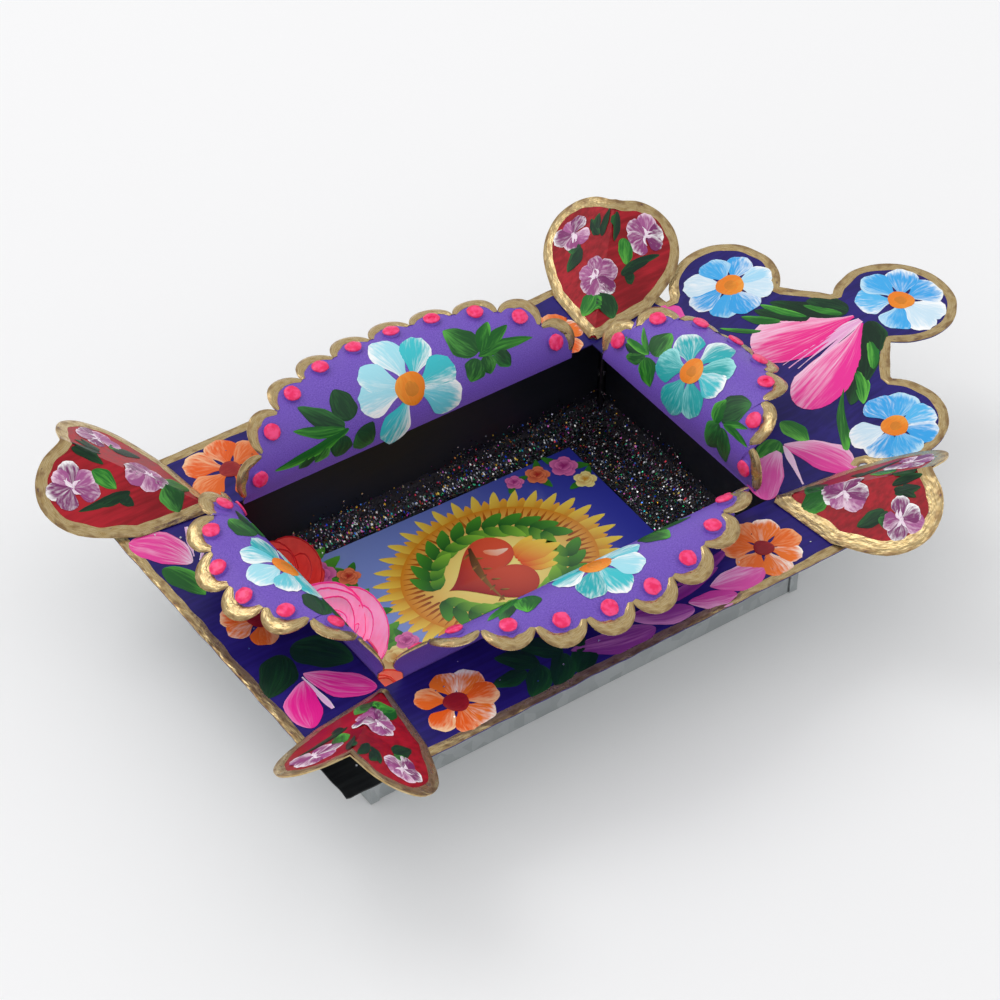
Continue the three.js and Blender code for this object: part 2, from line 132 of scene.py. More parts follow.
def relief(tree, shader, height, distance, strength=1.0):
    bump = add_node(tree, "ShaderNodeBump", Height=height, Distance=distance, Strength=strength)
    tree.links.new(bump.outputs[0], shader.inputs["Normal"])


galvanised, tree, shader = new_finish("galvanised_tin", metallic=0.85)
where = object_place(tree)
spangle = add_node(tree, "ShaderNodeTexVoronoi", Vector=where, Scale=260.0).outputs["Color"]
grey = add_node(tree, "ShaderNodeRGBToBW", Color=spangle).outputs[0]
haze = cloud(tree, where, 45.0, 4.0)
pale = mix_colours(tree, remap(tree, grey, 0.2, 0.8), tint("b6bbbc"), tint("c5c9ca"))
pale = mix_colours(tree, remap(tree, haze, 0.45, 0.75, 0.0, 0.5), pale, tint("a9aeb0"))
rolled = cloud(tree, where, 400.0, 3.0, (1, 0.08, 1))
colour_by(tree, shader, pale, remap(tree, rolled, 0.3, 0.7, 0.3, 0.46))
relief(tree, shader, haze, 0.0006, 0.5)

black_inside, tree, shader = new_finish("black_box_paint")
shader.inputs["Specular IOR Level"].default_value = 0.25
where = object_place(tree)
brushed = cloud(tree, where, 300.0, 4.0, (1, 0.12, 1))
colour_by(tree, shader, mix_colours(tree, brushed, tint("0f1218"), tint("1f232b")),
          remap(tree, brushed, 0.3, 0.7, 0.32, 0.5))
relief(tree, shader, brushed, 0.0001, 0.6)


def verts_of(made):
    return [part for part in made["geom"] if isinstance(part, bmesh.types.BMVert)]


def place_piece(name, bm, materials, nodes=(), body="frame", sharp=40, thickness=0.0,
                rim=0, back=1):
    """Turns a mesh worked in millimetres into a piece of the frame; a thickness makes tin of it."""
    bmesh.ops.scale(bm, vec=(0.001, 0.001, 0.001), verts=bm.verts)
    bm.edges.index_update()
    cut_edges = [edge.index for edge in bm.edges if thickness and edge.is_boundary]
    mesh = bpy.data.meshes.new(name)
    bm.to_mesh(mesh)
    bm.free()
    mesh.shade_smooth()
    mesh.set_sharp_from_angle(angle=math.radians(sharp))
    for i in cut_edges:
        mesh.edges[i].use_edge_sharp = True
    for material in materials:
        mesh.materials.append(material)
    piece = bpy.data.objects.new(name, mesh)
    bpy.context.scene.collection.objects.link(piece)
    if thickness:
        tin = piece.modifiers.new("thickness", "SOLIDIFY")
        tin.thickness = thickness * 0.001
        tin.offset = -1
        tin.material_offset = back
        tin.material_offset_rim = rim
    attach(piece, body)
    if nodes:
        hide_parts(*nodes)


def strip_towards(bm, direction):
    """Turns a bent strip so that most of its area looks in a direction, in any order of faces."""
    bm.normal_update()
    whole = sum((face.normal * face.calc_area() for face in bm.faces), Vector())
    if whole.dot(Vector(direction)) < 0:
        bmesh.ops.reverse_faces(bm, faces=bm.faces)


def round_folds(bm, edges, radius, segments):
    bmesh.ops.bevel(bm, geom=edges, offset=radius, segments=segments, profile=0.5, affect="EDGES",
                    material=-1)


def tin_wall(name, plan, shortened, outwards, turn):
    """A wall bent to its plan, with a flange folded out along its longest stretch."""
    bm = bmesh.new()
    corners = [bm.verts.new((x, y, 0)) for x, y in plan]
    foot = [bm.edges.new(pair) for pair in zip(corners, corners[1:])]
    raised = bmesh.ops.extrude_edge_only(bm, edges=foot)
    bmesh.ops.translate(bm, verts=verts_of(raised), vec=(0, 0, WALL_TOP - TIN))
    strip_towards(bm, outwards)
    tops = [edge for edge in bm.edges if all(v.co.z > 1 for v in edge.verts)]
    top = max(tops, key=lambda edge: edge.calc_length())
    flange = verts_of(bmesh.ops.extrude_edge_only(bm, edges=[top]))
    bmesh.ops.translate(bm, verts=flange, vec=Vector(outwards) * WALL_FLANGE)
    for vert in flange:
        vert.co.y -= math.copysign(shortened, vert.co.y)
    round_folds(bm, [top], WALL_BEND, 4)
    bmesh.ops.subdivide_edges(bm, edges=[e for e in bm.edges if e.calc_length() > 12], cuts=11,
                              use_grid_fill=True)
    for vert in bm.verts:
        swell = 0.12 * noise.noise(vert.co * 0.045) - 0.08
        if 1 < vert.co.z < WALL_TOP - 3:
            vert.co += swell * Vector(outwards)
    bmesh.ops.rotate(bm, cent=(0, 0, 0), matrix=Matrix.Rotation(turn, 3, "Z"), verts=bm.verts)
    place_piece(name + "_tin", bm, [galvanised, black_inside], [name], thickness=TIN)


long_end = BOX_LENGTH / 2 - TIN - SEAT
for name, turn in (("wall_right", 0), ("wall_left", math.pi)):
    plan = [(BOX_WIDTH / 2, -long_end), (BOX_WIDTH / 2, long_end)]
    tin_wall(name, plan, FLANGE_SHORT, (1, 0, 0), turn)
lap, outer = BOX_WIDTH / 2 + SEAT + TIN, BOX_LENGTH / 2
for name, turn in (("wall_top", 0), ("wall_bottom", math.pi)):
    plan = [(-lap, outer - CORNER_LAP), (-lap, outer), (lap, outer), (lap, outer - CORNER_LAP)]
    tin_wall(name, plan, 0.0, (0, 1, 0), turn)


# The back panel: one sheet of the same tin with a low rim folded up all round, pushed in
# between the walls and soldered. Its outside is bare, and the frame lies on it.
INSIDE_X = BOX_WIDTH / 2 - 2 * TIN - SEAT
INSIDE_Y = BOX_LENGTH / 2 - 2 * TIN - SEAT
BACK_RIM = 3.0
BACK_BEND = 0.5


def face_towards(bm, direction, index=0):
    """Turns an open sheet so that the face with this index looks in a direction."""
    bm.normal_update()
    bm.faces.ensure_lookup_table()
    if bm.faces[index].normal.dot(Vector(direction)) < 0:
        bmesh.ops.reverse_faces(bm, faces=bm.faces)


bm = bmesh.new()
bmesh.ops.create_grid(bm, x_segments=1, y_segments=1, size=1.0)
bmesh.ops.scale(bm, vec=(INSIDE_X + TIN, INSIDE_Y + TIN, 1), verts=bm.verts)
folds = list(bm.edges)
rim = verts_of(bmesh.ops.extrude_edge_only(bm, edges=folds))
bmesh.ops.translate(bm, verts=rim, vec=(0, 0, BACK_RIM))
bmesh.ops.recalc_face_normals(bm, faces=bm.faces)
face_towards(bm, (0, 0, -1))
round_folds(bm, folds, BACK_BEND, 3)
place_piece("back_panel_tin", bm, [galvanised, black_inside], ["back_panel"],
            thickness=TIN)


# The solder in the four inside corners: a bead run down each corner from the plate to the
# back panel's rim with an iron, lumpy where it cooled, and painted over with the same black,
# which has missed it here and there.
BEAD_RADIUS = 1.15
BEAD_LENGTH = 27.4
BEAD_MIDDLE = 17.4
LUMPS = 0.22
solder, tree, shader = new_finish("painted_solder", roughness=0.25)
where = object_place(tree)
missed = remap(tree, cloud(tree, where, 420.0, 3.0, (1, 1, 0.5)), 0.6, 0.64)
colour_by(tree, shader, mix_colours(tree, missed, tint("0e0e12"), tint("e0e2e4")))
tree.links.new(missed, shader.inputs["Metallic"])
for name, x, y in (("top_right", 1, 1), ("top_left", -1, 1), ("bottom_left", -1, -1),
                   ("bottom_right", 1, -1)):
    bm = bmesh.new()
    bmesh.ops.create_cone(bm, cap_ends=True, segments=12, radius1=BEAD_RADIUS, radius2=BEAD_RADIUS,
                          depth=BEAD_LENGTH)
    sides = [edge for edge in bm.edges if edge.calc_length() > 20]
    bmesh.ops.subdivide_edges(bm, edges=sides, cuts=34)
    bmesh.ops.translate(bm, verts=bm.verts, vec=(0, 0, BEAD_MIDDLE))
    for vert in bm.verts:
        lump = 1.0 + LUMPS * noise.noise(Vector((x * 3, y * 3, vert.co.z * 0.5)))
        vert.co.x = vert.co.x * lump + x * (BOX_WIDTH / 2 - TIN - 0.85)
        vert.co.y = vert.co.y * lump + y * (BOX_LENGTH / 2 - TIN - 0.95)
    bmesh.ops.recalc_face_normals(bm, faces=bm.faces)
    place_piece(f"solder_{name}", bm, [solder], [f"corner_seam_{name}"])


# The face plate: one sheet cut to its outline with snips, the crown bent forward by hand. It
# is brushed deep indigo, and its cut edge carries a line of gold paint put on with one brush.
PLATE_WIDTH = 126.4
PLATE_LENGTH = 173.4
OPENING_WIDTH = 76.0
OPENING_LENGTH = 118.5
CROWN_FOOT = 41.0
CROWN_LEVEL = 38.0
CROWN_RISE = 6.2
SIDE_LOBE_X, SIDE_LOBE_Y, SIDE_LOBE_RADIUS = 35.1, 15.7, 15.2
TOP_LOBE_Y, TOP_LOBE_RADIUS = 47, 17
BLACK_CORNER = 10
GOLD_STOP = 17
PLATE_GOLD = 2.7


def plate_point(x, y, above=0.0):
    share = min(max((y - PLATE_LENGTH / 2) / CROWN_LEVEL, 0.0), 1.0)
    return Vector((x, y, FRONT + CROWN_RISE * share * (2 - share) + above))


def arc_points(x, y, radius, start, end, steps):
    angles = (math.radians(start + (end - start) * i / steps) for i in range(steps + 1))
    return [Vector((x + radius * math.cos(a), y + radius * math.sin(a))) for a in angles]


def evenly(points, spacing):
    """The same line with its points a set distance apart."""
    reach = [0.0]
    for first, second in zip(points, points[1:]):
        reach.append(reach[-1] + (second - first).length)
    count = max(2, round(reach[-1] / spacing))
    line, k = [], 0
    for i in range(count + 1):
        want = reach[-1] * i / count
        while k < len(points) - 2 and reach[k + 1] < want:
            k += 1
        share = (want - reach[k]) / max(reach[k + 1] - reach[k], 1e-9)
        line.append(points[k].lerp(points[k + 1], min(share, 1.0)))
    return line


def sideways(line, i):
    """The unit direction to the left of a line at its point i."""
    along = line[min(i + 1, len(line) - 1)] - line[max(i - 1, 0)]
    return Vector((-along.y, along.x)).normalized()


half_width, half_length = PLATE_WIDTH / 2, PLATE_LENGTH / 2
plate_edge = evenly(
    [Vector((-half_width, -half_length)), Vector((half_width, -half_length)),
     Vector((half_width, half_length)), Vector((CROWN_FOOT, half_length))]
    + arc_points(SIDE_LOBE_X, half_length + SIDE_LOBE_Y, SIDE_LOBE_RADIUS, -68, 140, 40)
    + arc_points(0, half_length + TOP_LOBE_Y, TOP_LOBE_RADIUS, -45, 225, 50)
    + arc_points(-SIDE_LOBE_X, half_length + SIDE_LOBE_Y, SIDE_LOBE_RADIUS, 40, 248, 40)
    + [Vector((-CROWN_FOOT, half_length)), Vector((-half_width, half_length)),
       Vector((-half_width, -half_length))], 1.2)
plate_edge = [point + sideways(plate_edge, i) * 0.3 * noise.noise(Vector((i * 0.21, 0, 0)))
              for i, point in enumerate(plate_edge)]


def calculate(tree, what, first, second=0.0):
    return add_node(tree, "ShaderNodeMath", {"operation": what}, _0=first, _1=second).outputs[0]


def weighted_sum(tree, *parts):
    """Adds up pairs of a value and its weight, in their order."""
    total = None
    for value, weight in parts:
        share = value if weight == 1 else calculate(tree, "MULTIPLY", value, weight)
        total = share if total is None else calculate(tree, "ADD", total, share)
    return total


brush_marks = bpy.data.node_groups.new("brush_marks", "ShaderNodeTree")
for label, kind, way in (("Vector", "Vector", "INPUT"), ("Deep", "Color", "INPUT"),
                         ("Light", "Color", "INPUT"), ("Color", "Color", "OUTPUT"),
                         ("Roughness", "Float", "OUTPUT"), ("Height", "Float", "OUTPUT")):
    brush_marks.interface.new_socket(label, in_out=way, socket_type="NodeSocket" + kind)
enter = brush_marks.nodes.new("NodeGroupInput").outputs
leave = brush_marks.nodes.new("NodeGroupOutput").inputs
hairs = cloud(brush_marks, enter["Vector"], 900.0, 3.0, (1, 0.07, 1))
sweep = cloud(brush_marks, enter["Vector"], 60.0, 3.0)
shade = weighted_sum(brush_marks, (hairs, 0.5), (sweep, 0.5))
lighter = remap(brush_marks, shade, 0.35, 0.65)
for socket, label in ((mix_colours(brush_marks, lighter, enter["Deep"], enter["Light"]), "Color"),
                      (remap(brush_marks, shade, 0.35, 0.65, 0.3, 0.42), "Roughness"),
                      (shade, "Height")):
    brush_marks.links.new(socket, leave[label])


def ground_paint(name, deep, light, coordinates="Object"):
    """Enamel brushed on tin, with its hair lines."""
    material, tree, shader = new_finish(name)
    shader.inputs["Specular IOR Level"].default_value = 0.27
    where = add_node(tree, "ShaderNodeTexCoord").outputs[coordinates]
    if coordinates == "UV":
        where = add_node(tree, "ShaderNodeMapping", Vector=where, Scale=(0.05, 0.05, 0.05)).outputs[0]
    coat = add_node(tree, "ShaderNodeGroup", {"node_tree": brush_marks}, Vector=where,
                    Deep=tint(deep), Light=tint(light)).outputs
    colour_by(tree, shader, coat["Color"], coat["Roughness"])
    relief(tree, shader, coat["Height"], 0.0001, 0.5)
    return material


indigo = ground_paint("indigo_enamel", "1d1360", "281c78")
black_corner = ground_paint("black_undercoat", "17181a", "2b2d2f")


def uv_place(tree):
    return add_node(tree, "ShaderNodeUVMap").outputs[0]


gold, tree, shader = new_finish("gold_line_paint", metallic=0.85)
where = uv_place(tree)
hairs = cloud(tree, where, 22.0, 3.0, (1, 0.16, 1))
patches = cloud(tree, where, 1.6, 3.0, (1, 1.6, 1))
puddles = cloud(tree, where, 2.6, 2.0)
from_edge = add_node(tree, "ShaderNodeSeparateXYZ", Vector=where).outputs[0]
# Browner towards the cut edge of each line: painted shade along the edge, added to the brown patches
# where the paint lies thin.
thin_paint_and_edge_shade = calculate(tree, "ADD", patches, remap(tree, from_edge, 0.0, 0.4, 0.14, 0.0))
rich = mix_colours(tree, remap(tree, hairs, 0.3, 0.7), tint("c4a56c"), tint("e2cc9c"))
rich = mix_colours(tree, remap(tree, thin_paint_and_edge_shade, 0.5, 0.74, 0.0, 0.6), rich, tint("7c4e30"))
rich = mix_colours(tree, remap(tree, puddles, 0.66, 0.72, 0.0, 0.6), rich, tint("4a2c5c"))
colour_by(tree, shader, rich, remap(tree, patches, 0.3, 0.7, 0.24, 0.38))
relief(tree, shader, weighted_sum(tree, (puddles, 1), (hairs, 0.05)), 0.0006, 0.6)


def lay_grid(bm, across, along, place, uv_size=(1.0, 1.0)):
    """A flat grid laid by place(u, v), with its UV map; gives its vertices."""
    uv = bm.loops.layers.uv.verify()
    verts = bmesh.ops.create_grid(bm, x_segments=across, y_segments=along, size=0.5)["verts"]
    faces = {face for vert in verts for face in vert.link_faces}
    for face in faces:
        for loop in face.loops:
            loop[uv].uv = ((loop.vert.co.x + 0.5) * uv_size[0], (loop.vert.co.y + 0.5) * uv_size[1])
    for vert in verts:
        vert.co = place(vert.co.x + 0.5, vert.co.y + 0.5)
    return verts


def gold_line(bm, surface, line, width, height=0.1, taper=0.0, over=0.08):
    """A brushed line of gold along a cut edge, which lies to the right of it."""
    count = len(line) - 1
    seed = random.random() * 50

    def place(u, v):
        i = round(v * count)
        ends = taper + (1 - taper) * math.sin(math.pi * v) ** 0.7 if taper else 1.0
        wobble = 1.0 + 0.2 * noise.noise(Vector((i * 0.16 + seed, 0, 0)))
        spot = line[i] + sideways(line, i) * (u * width * wobble * ends - over)
        puff = height * ends * (1 - (2 * u - 1) ** 2)
        puff *= 1 + 0.3 * noise.noise(Vector((i * 0.13, u * 2, seed)))
        return surface(spot.x, spot.y, 0.03 + puff)

    reach = sum((b - a).length for a, b in zip(line, line[1:]))
    lay_grid(bm, 6, count, place, (width / 4, reach / 10))


def slice_sheet(bm, place, normal):
    bmesh.ops.bisect_plane(bm, geom=bm.verts[:] + bm.edges[:] + bm.faces[:], plane_co=place,
                           plane_no=normal)


random.seed(7)
bm = bmesh.new()
outline = [bm.verts.new((p.x, p.y, 0)) for p in plate_edge[:-1]]
hole = [bm.verts.new((x * OPENING_WIDTH / 2, y * OPENING_LENGTH / 2, 0))
        for x, y in ((-1, -1), (1, -1), (1, 1), (-1, 1))]
for loop in (outline, hole):
    for i, vert in enumerate(loop):
        bm.edges.new((vert, loop[(i + 1) % len(loop)]))
bmesh.ops.triangle_fill(bm, edges=bm.edges, use_beauty=True)
for step in range(9):
    slice_sheet(bm, (0, half_length + CROWN_LEVEL * step / 8, 0), (0, 1, 0))
for vert in bm.verts:
    vert.co = plate_point(vert.co.x, vert.co.y)
for x, y in ((1, 1), (1, -1), (-1, 1), (-1, -1)):
    slice_sheet(bm, (x * (half_width - BLACK_CORNER), y * (half_length - BLACK_CORNER), 0), (x, y, 0))
corner = half_width + half_length - 2 * BLACK_CORNER
for face in bm.faces:
    middle = face.calc_center_median()
    if middle.y < half_length and abs(middle.x) + abs(middle.y) > corner:
        face.material_index = 1
face_towards(bm, (0, 0, 1))
place_piece("face_plate_tin", bm, [indigo, black_corner, galvanised], ["face_plate"],
            thickness=TIN, back=2)

bm = bmesh.new()
painted = [[]]
corner = half_width + half_length - GOLD_STOP
for point in plate_edge:
    if point.y < half_length + 0.5 and abs(point.x) + abs(point.y) > corner:
        painted.append([])
    else:
        painted[-1].append(point)
for line in painted:
    if len(line) > 5:
        gold_line(bm, plate_point, line, PLATE_GOLD)
face_towards(bm, (0, 0, 1))
place_piece("face_plate_gold_edge", bm, [gold])


# The flowers on the plate: acrylics laid on wet with a flat brush loaded with two colours, one
# stroke for each petal and leaf. Each stroke is a thin skin of paint of its own, raised in the
# middle and ridged by the hairs of the brush.
def uv_shares(tree):
    return add_node(tree, "ShaderNodeSeparateXYZ", Vector=uv_place(tree)).outputs[:2]


def vertex_colour(tree, name):
    """The outputs of a colour that the vertices carry. Of "body", the alpha holds a stroke's width
    in millimetres and a random share; of "load", the side of the brush that carries it."""
    return add_node(tree, "ShaderNodeAttribute", {"attribute_name": name}).outputs


brush_colours, tree, shader = new_finish("brush_loaded_paint", roughness=0.4)
shader.inputs["Specular IOR Level"].default_value = 0.3
across, along = uv_shares(tree)
body, load = vertex_colour(tree, "body"), vertex_colour(tree, "load")
wide = calculate(tree, "MULTIPLY", body["Alpha"], 0.1)
hair_place = add_node(tree, "ShaderNodeCombineXYZ", X=calculate(tree, "MULTIPLY", across, wide),
                      Y=calculate(tree, "MULTIPLY", along, 0.14),
                      Z=calculate(tree, "MULTIPLY", body["Alpha"], 40.0)).outputs[0]
hairs = add_node(tree, "ShaderNodeTexNoise", Vector=hair_place, Scale=22.0, Detail=3.0).outputs[0]
broad = add_node(tree, "ShaderNodeTexNoise", Vector=hair_place, Scale=3.2, Detail=1.0).outputs[0]
loaded_side = add_node(tree, "ShaderNodeMix", {"data_type": "FLOAT"}, _0=load["Alpha"],
                       _2=calculate(tree, "SUBTRACT", 1.0, across), _3=across).outputs[0]
loaded_tip = calculate(tree, "MULTIPLY", remap(tree, along, 0.5, 1.0, 0.0, 0.45),
                       calculate(tree, "FRACT", calculate(tree, "MULTIPLY", body["Alpha"], 7.0)))
streaked = weighted_sum(tree, (hairs, 0.85), (broad, 0.4),
                        (calculate(tree, "POWER", loaded_side, 1.5), 0.85), (loaded_tip, 1))
share = remap(tree, streaked, 0.83, 1.4)
colour_by(tree, shader, mix_colours(tree, share, body["Color"], load["Color"]))
relief(tree, shader, hairs, 0.00015, 0.6)

LAYER = 0.018
PAINT_GAP = 0.035
SKY = [("32a4ea", "f4f9fc"), ("50b8f0", "ffffff"), ("a4daf6", "ffffff"), ("3aaaec", "c0e4f8"),
       ("cce6f6", "ffffff")]
ORANGE = [("ee5e0c", "fccc9e"), ("f2741c", "fff4e8"), ("ec6816", "f9b480")]
ORANGE_HEART = ("8e1420", "a81c26")
BROWN_HEART = ("9a1a20", "b2342a")
GREEN = [("184424", "3a8a3c"), ("1a4228", "327436"), ("1a5424", "56aa44")]
DEEP_GREEN = [("082c1a", "185024"), ("0c3220", "205c28")]
LEAF_GREEN = [("14601e", "58b83c"), ("1a7022", "6cc848")]


def colour_layer(bm, name):
    return bm.verts.layers.float_color.get(name) or bm.verts.layers.float_color.new(name)


def heading(angle):
    return Vector((math.cos(angle), math.sin(angle)))


def stroke(bm, surface, start, end, width, colours, shape="petal", bend=0.0, level=0, side=None,
           across=10, along=14, rise=0.07):
    """One brush stroke between two flat places on a surface; bend is a share of its length."""
    start, end = Vector(start), Vector(end)
    axis = end - start
    reach = axis.length
    axis.normalize()
    left = Vector((-axis.y, axis.x))
    seed = random.random()
    first, second = random.choice(colours) if isinstance(colours, list) else colours
    body_layer = colour_layer(bm, "body")
    load_layer = colour_layer(bm, "load")
    wave, lobes = seed * 7, random.choice((2, 3))

    def place(u, v):
        x = math.sin((2 * u - 1) * math.pi / 2)
        if shape in ("petal", "drop"):
            v = 1 - (1 - v) ** 1.5
        elif shape != "blob":
            v = 0.5 - 0.5 * math.cos(math.pi * v)
        rounding = (1 - math.sqrt(max(0.0, 1 - x * x))) * v * v
        far = v
        if shape == "petal":
            half = 0.2 + 0.8 * math.sin(min(v * 1.35, 1.0) * math.pi / 2) ** 1.4
            far = v - 0.42 * rounding + 0.025 * v * v * math.sin(lobes * 3.1 * x + wave)
        elif shape == "drop":
            half = 0.06 + 0.94 * math.sin(min(v * 1.3, 1.0) * math.pi / 2) ** 1.5
            far = v - 0.26 * rounding
        elif shape == "leaf":
            half = math.sin(math.pi * min(v ** 0.8, 1.0)) ** (0.55 + 0.25 * seed) + 0.02
            half *= 1 + 0.06 * math.sin(13 * v + wave + 2 * x)
        elif shape == "streak":
            half = 0.25 + 0.75 * math.sin(math.pi * min(v + 0.12, 1.0))
            half *= 1 + 0.2 * math.sin(9 * v + wave)
        else:
            y = 2 * v - 1
            rough = 1 + 0.05 * math.sin(3 * math.atan2(y, x) + wave)
            half = math.sqrt(max(0.0, 1 - y * y / 2)) * rough
            far = 0.5 + 0.5 * y * math.sqrt(max(0.0, 1 - x * x / 2)) * rough
        spot = start + axis * (reach * far) + left * (x * half * width / 2
                                                      + bend * reach * math.sin(math.pi * v))
        lumps = 0.4 * noise.noise(Vector((u * 9, v * 2, seed * 20)))
        skin = rise * ((1 - x ** 4) * (1 - (2 * v - 1) ** 8) + lumps)
        return surface(spot.x, spot.y, PAINT_GAP + LAYER * level + max(skin, 0.0))

    verts = lay_grid(bm, across, along, place)
    if side is None:
        side = random.random()
    for vert in verts:
        vert[body_layer] = tint(first, width + seed)
        vert[load_layer] = tint(second, side)


def flower(bm, surface, x, y, angles, length, width, colours, heart=("ec8014", "f29c34"),
           radius=3.6, inner=0.22):
    """Petals laid round a middle, each a little over the last, and the dab of the middle on top."""
    loose = 0.3 if radius < 1 else 0.14
    for i, angle in enumerate(angles):
        angle = math.radians(angle + random.uniform(-40, 40) * loose)
        way = heading(angle)
        far = length * random.uniform(1.04 - loose, 1.04)
        spot = Vector((x, y))
        stroke(bm, surface, spot + way * length * inner, spot + way * far,
               width * random.uniform(0.8, 0.98), colours, level=1 + i % 4,
               bend=random.uniform(-0.3, 0.3) * loose)
    stroke(bm, surface, (x, y - radius), (x, y + radius), 2 * radius, [heart], "blob", level=6,
           rise=0.16)
    if radius > 3.4:
        stroke(bm, surface, (x + 0.3, y - 0.5 * radius), (x, y + 0.45 * radius), 0.9 * radius,
               ("d27c1c", "e88e26"), "blob", level=14, across=6, along=6)


def leaf(bm, surface, x0, y0, x1, y1, width, colours, bend=0.04, level=1):
    stroke(bm, surface, (x0, y0), (x1, y1), width, colours, "leaf", bend=bend, level=level)


def leaves(bm, surface, rows, colours, level, flip=1):
    for x0, y0, x1, y1, width in rows:
        leaf(bm, surface, x0, y0 * flip, x1, y1 * flip, width, colours, level=level)


random.seed(11)
bm = bmesh.new()
paint = partial(stroke, bm, plate_point)
paint_leaf = partial(leaf, bm, plate_point)
paint_flower = partial(flower, bm, plate_point)
# leaves and a hanging lily of two strokes, under the flower at the top of the crown
leaves(bm, plate_point, (
    (-4, 120.5, -14.5, 114.5, 9), (-4, 118.5, -20.5, 106.5, 6.5), (-7, 111, -21, 101.5, 6),
    (2.5, 123, 13.5, 116, 6.5), (5, 119, 21, 105, 6.5), (10, 112.5, 24, 98.5, 6.5),
    (7, 116, 17, 101, 4)), DEEP_GREEN, 1)
leaves(bm, plate_point, (
    (-4, 119, -14, 112.3, 3.6), (-9, 110.5, -21.5, 104, 3.4), (-12, 104.5, -21.5, 97.5, 3.2),
    (8.5, 117.5, 18, 110.5, 3.8), (14.5, 107.5, 26, 101, 4.6), (-12.5, 99, -22.5, 91, 1.6)),
    LEAF_GREEN, 2)
paint((17, 102), (35.5, 87.5), 2.6, LEAF_GREEN, "drop", bend=-0.05, level=3)
paint((-1.6, 120.5), (-9.5, 92), 16.5, ("f0248e", "fbc8e4"), "drop", bend=0.05, level=3, side=0.15)
paint((1.8, 120.5), (16, 89), 14.5, ("f02a98", "fcd0e8"), "drop", bend=0.06, level=3, side=0.2)
for x, width in ((-2.5, 1.5), (-0.6, 1.1), (1.0, 1.3), (2.6, 1.0), (4.4, 1.4)):
    paint((0.5 + x * 0.15, 121), (x * 1.2 + 1, 94 + abs(x)), width, [("e9a4d4", "fdf0f8")], "streak",
          level=2, across=3)
paint_flower(0.3, 135.6, (33, 88, 140, 190, 243, 310, 358), 13.6, 11.2, SKY, radius=3.7)
paint_flower(-33, 102.7, (120, 76, 38, -12, -52, -95, 221, 172), 12.6, 9.8, SKY, radius=3.9)
paint_flower(37.6, 102, (127, 75, 30, -15, -66, -112, 170), 12.4, 10.6, SKY, radius=3.6)
# the borders: petals and leaves at the top, a fern of pink and violet down the right
paint_leaf(16, 81.5, 26.7, 82, 6.0, LEAF_GREEN)
paint_leaf(21.5, 76, 24.5, 66.5, 6.5, LEAF_GREEN)
paint((24, 76), (38.5, 70.5), 1.8, [("f0c6e4", "ffffff")], "streak", level=2, across=4)
paint((42.8, 85), (23.5, 76.3), 10.8, ("e63c9e", "f4bcdc"), "leaf", bend=-0.08, level=3)
paint((37.6, 58.5), (24.3, 73.6), 9.4, ("e250a6", "f2b4d8"), "leaf", bend=0.08, level=3)
paint((-40.5, 85.3), (-31, 87), 4.0, ("ee4aa8", "f48cc6"), "streak", level=2)
paint_flower(51.5, 46.9, (-70, -15, 38, 88, 132, 180, 235), 10.6, 8.6, ORANGE, ORANGE_HEART, 2.7)
for x0, y0, x1, y1, width, body, load in (
        (46.5, 39, 50, 20, 3.0, "7a2a86", "b04aa0"), (50.5, 33, 52, 2, 3.4, "8c2a8c", "c060b0"),
        (59, 19, 52.5, 3.5, 6.4, "9a3f9a", "d68ac6"), (58.8, 7, 53.5, -15, 8.2, "8c3a92", "d080c4"),
        (61, 31, 56.5, 19, 6.4, "d040a0", "f0b4da"), (57.5, 42.5, 55, 27, 8.8, "e250aa", "f6c8e6")):
    paint_leaf(x0, y0, x1, y1, width, [(body, load)], 0.05, 2)
for y, reach in ((-14, 7.5), (-21, 8.5), (-28, 8.0)):
    for way in (1, -1):
        paint_leaf(53, y + 4, 53 + way * reach, y - 4, 6.5, DEEP_GREEN, 0.06 * way)
paint_leaf(53, -28, 52.5, -38, 5, DEEP_GREEN)
paint_flower(52, -48, (-62, -12, 30, 75, 122, 168, 232), 11.2, 8.8, ORANGE, ORANGE_HEART, 3.2)
paint_flower(-49.8, -48.7, (10, 62, 118, 170, 226, 292), 12.2, 10.5, ORANGE, BROWN_HEART, 3.0)
paint_flower(-47, 52, (20, 80, 135, 190, 250, 310), 10.5, 8.6, ORANGE, BROWN_HEART, 3.0)
# the bottom border
paint((-40.5, -84.5), (-25.3, -75), 10.6, ("ea3c9c", "fbe0f0"), "leaf", bend=0.1, level=3)
for x0, y0, x1, y1 in ((-37.5, -69.5, -27, -73.5), (-30.5, -67.5, -25, -73), (37, -73.5, 24, -74)):
    paint((x0, y0), (x1, y1), 1.6, [("e8b8e0", "ffffff")], "streak", level=2, across=3)
paint_leaf(-27.6, -82.2, -13.6, -78.3, 6.8, LEAF_GREEN, bend=0.05)
paint_flower(1, -71.5, (-128, -84, -22, 30, 85, 140, 190), 10.4, 8.0, ORANGE, ORANGE_HEART, 3.4)
paint_leaf(14, -71, 26, -60.5, 10.5, DEEP_GREEN)
paint_leaf(14.8, -74, 25.5, -84.5, 9.5, DEEP_GREEN)
paint((37.2, -61), (23.2, -73.2), 8.4, ("e82898", "f4b4dc"), "leaf", bend=0.06, level=3)
paint((39.6, -81.4), (25.3, -74.3), 8.8, ("ee1c94", "f48cc8"), "leaf", bend=0.08, level=3)
face_towards(bm, (0, 0, 1))
place_piece("face_plate_flowers", bm, [brush_colours])


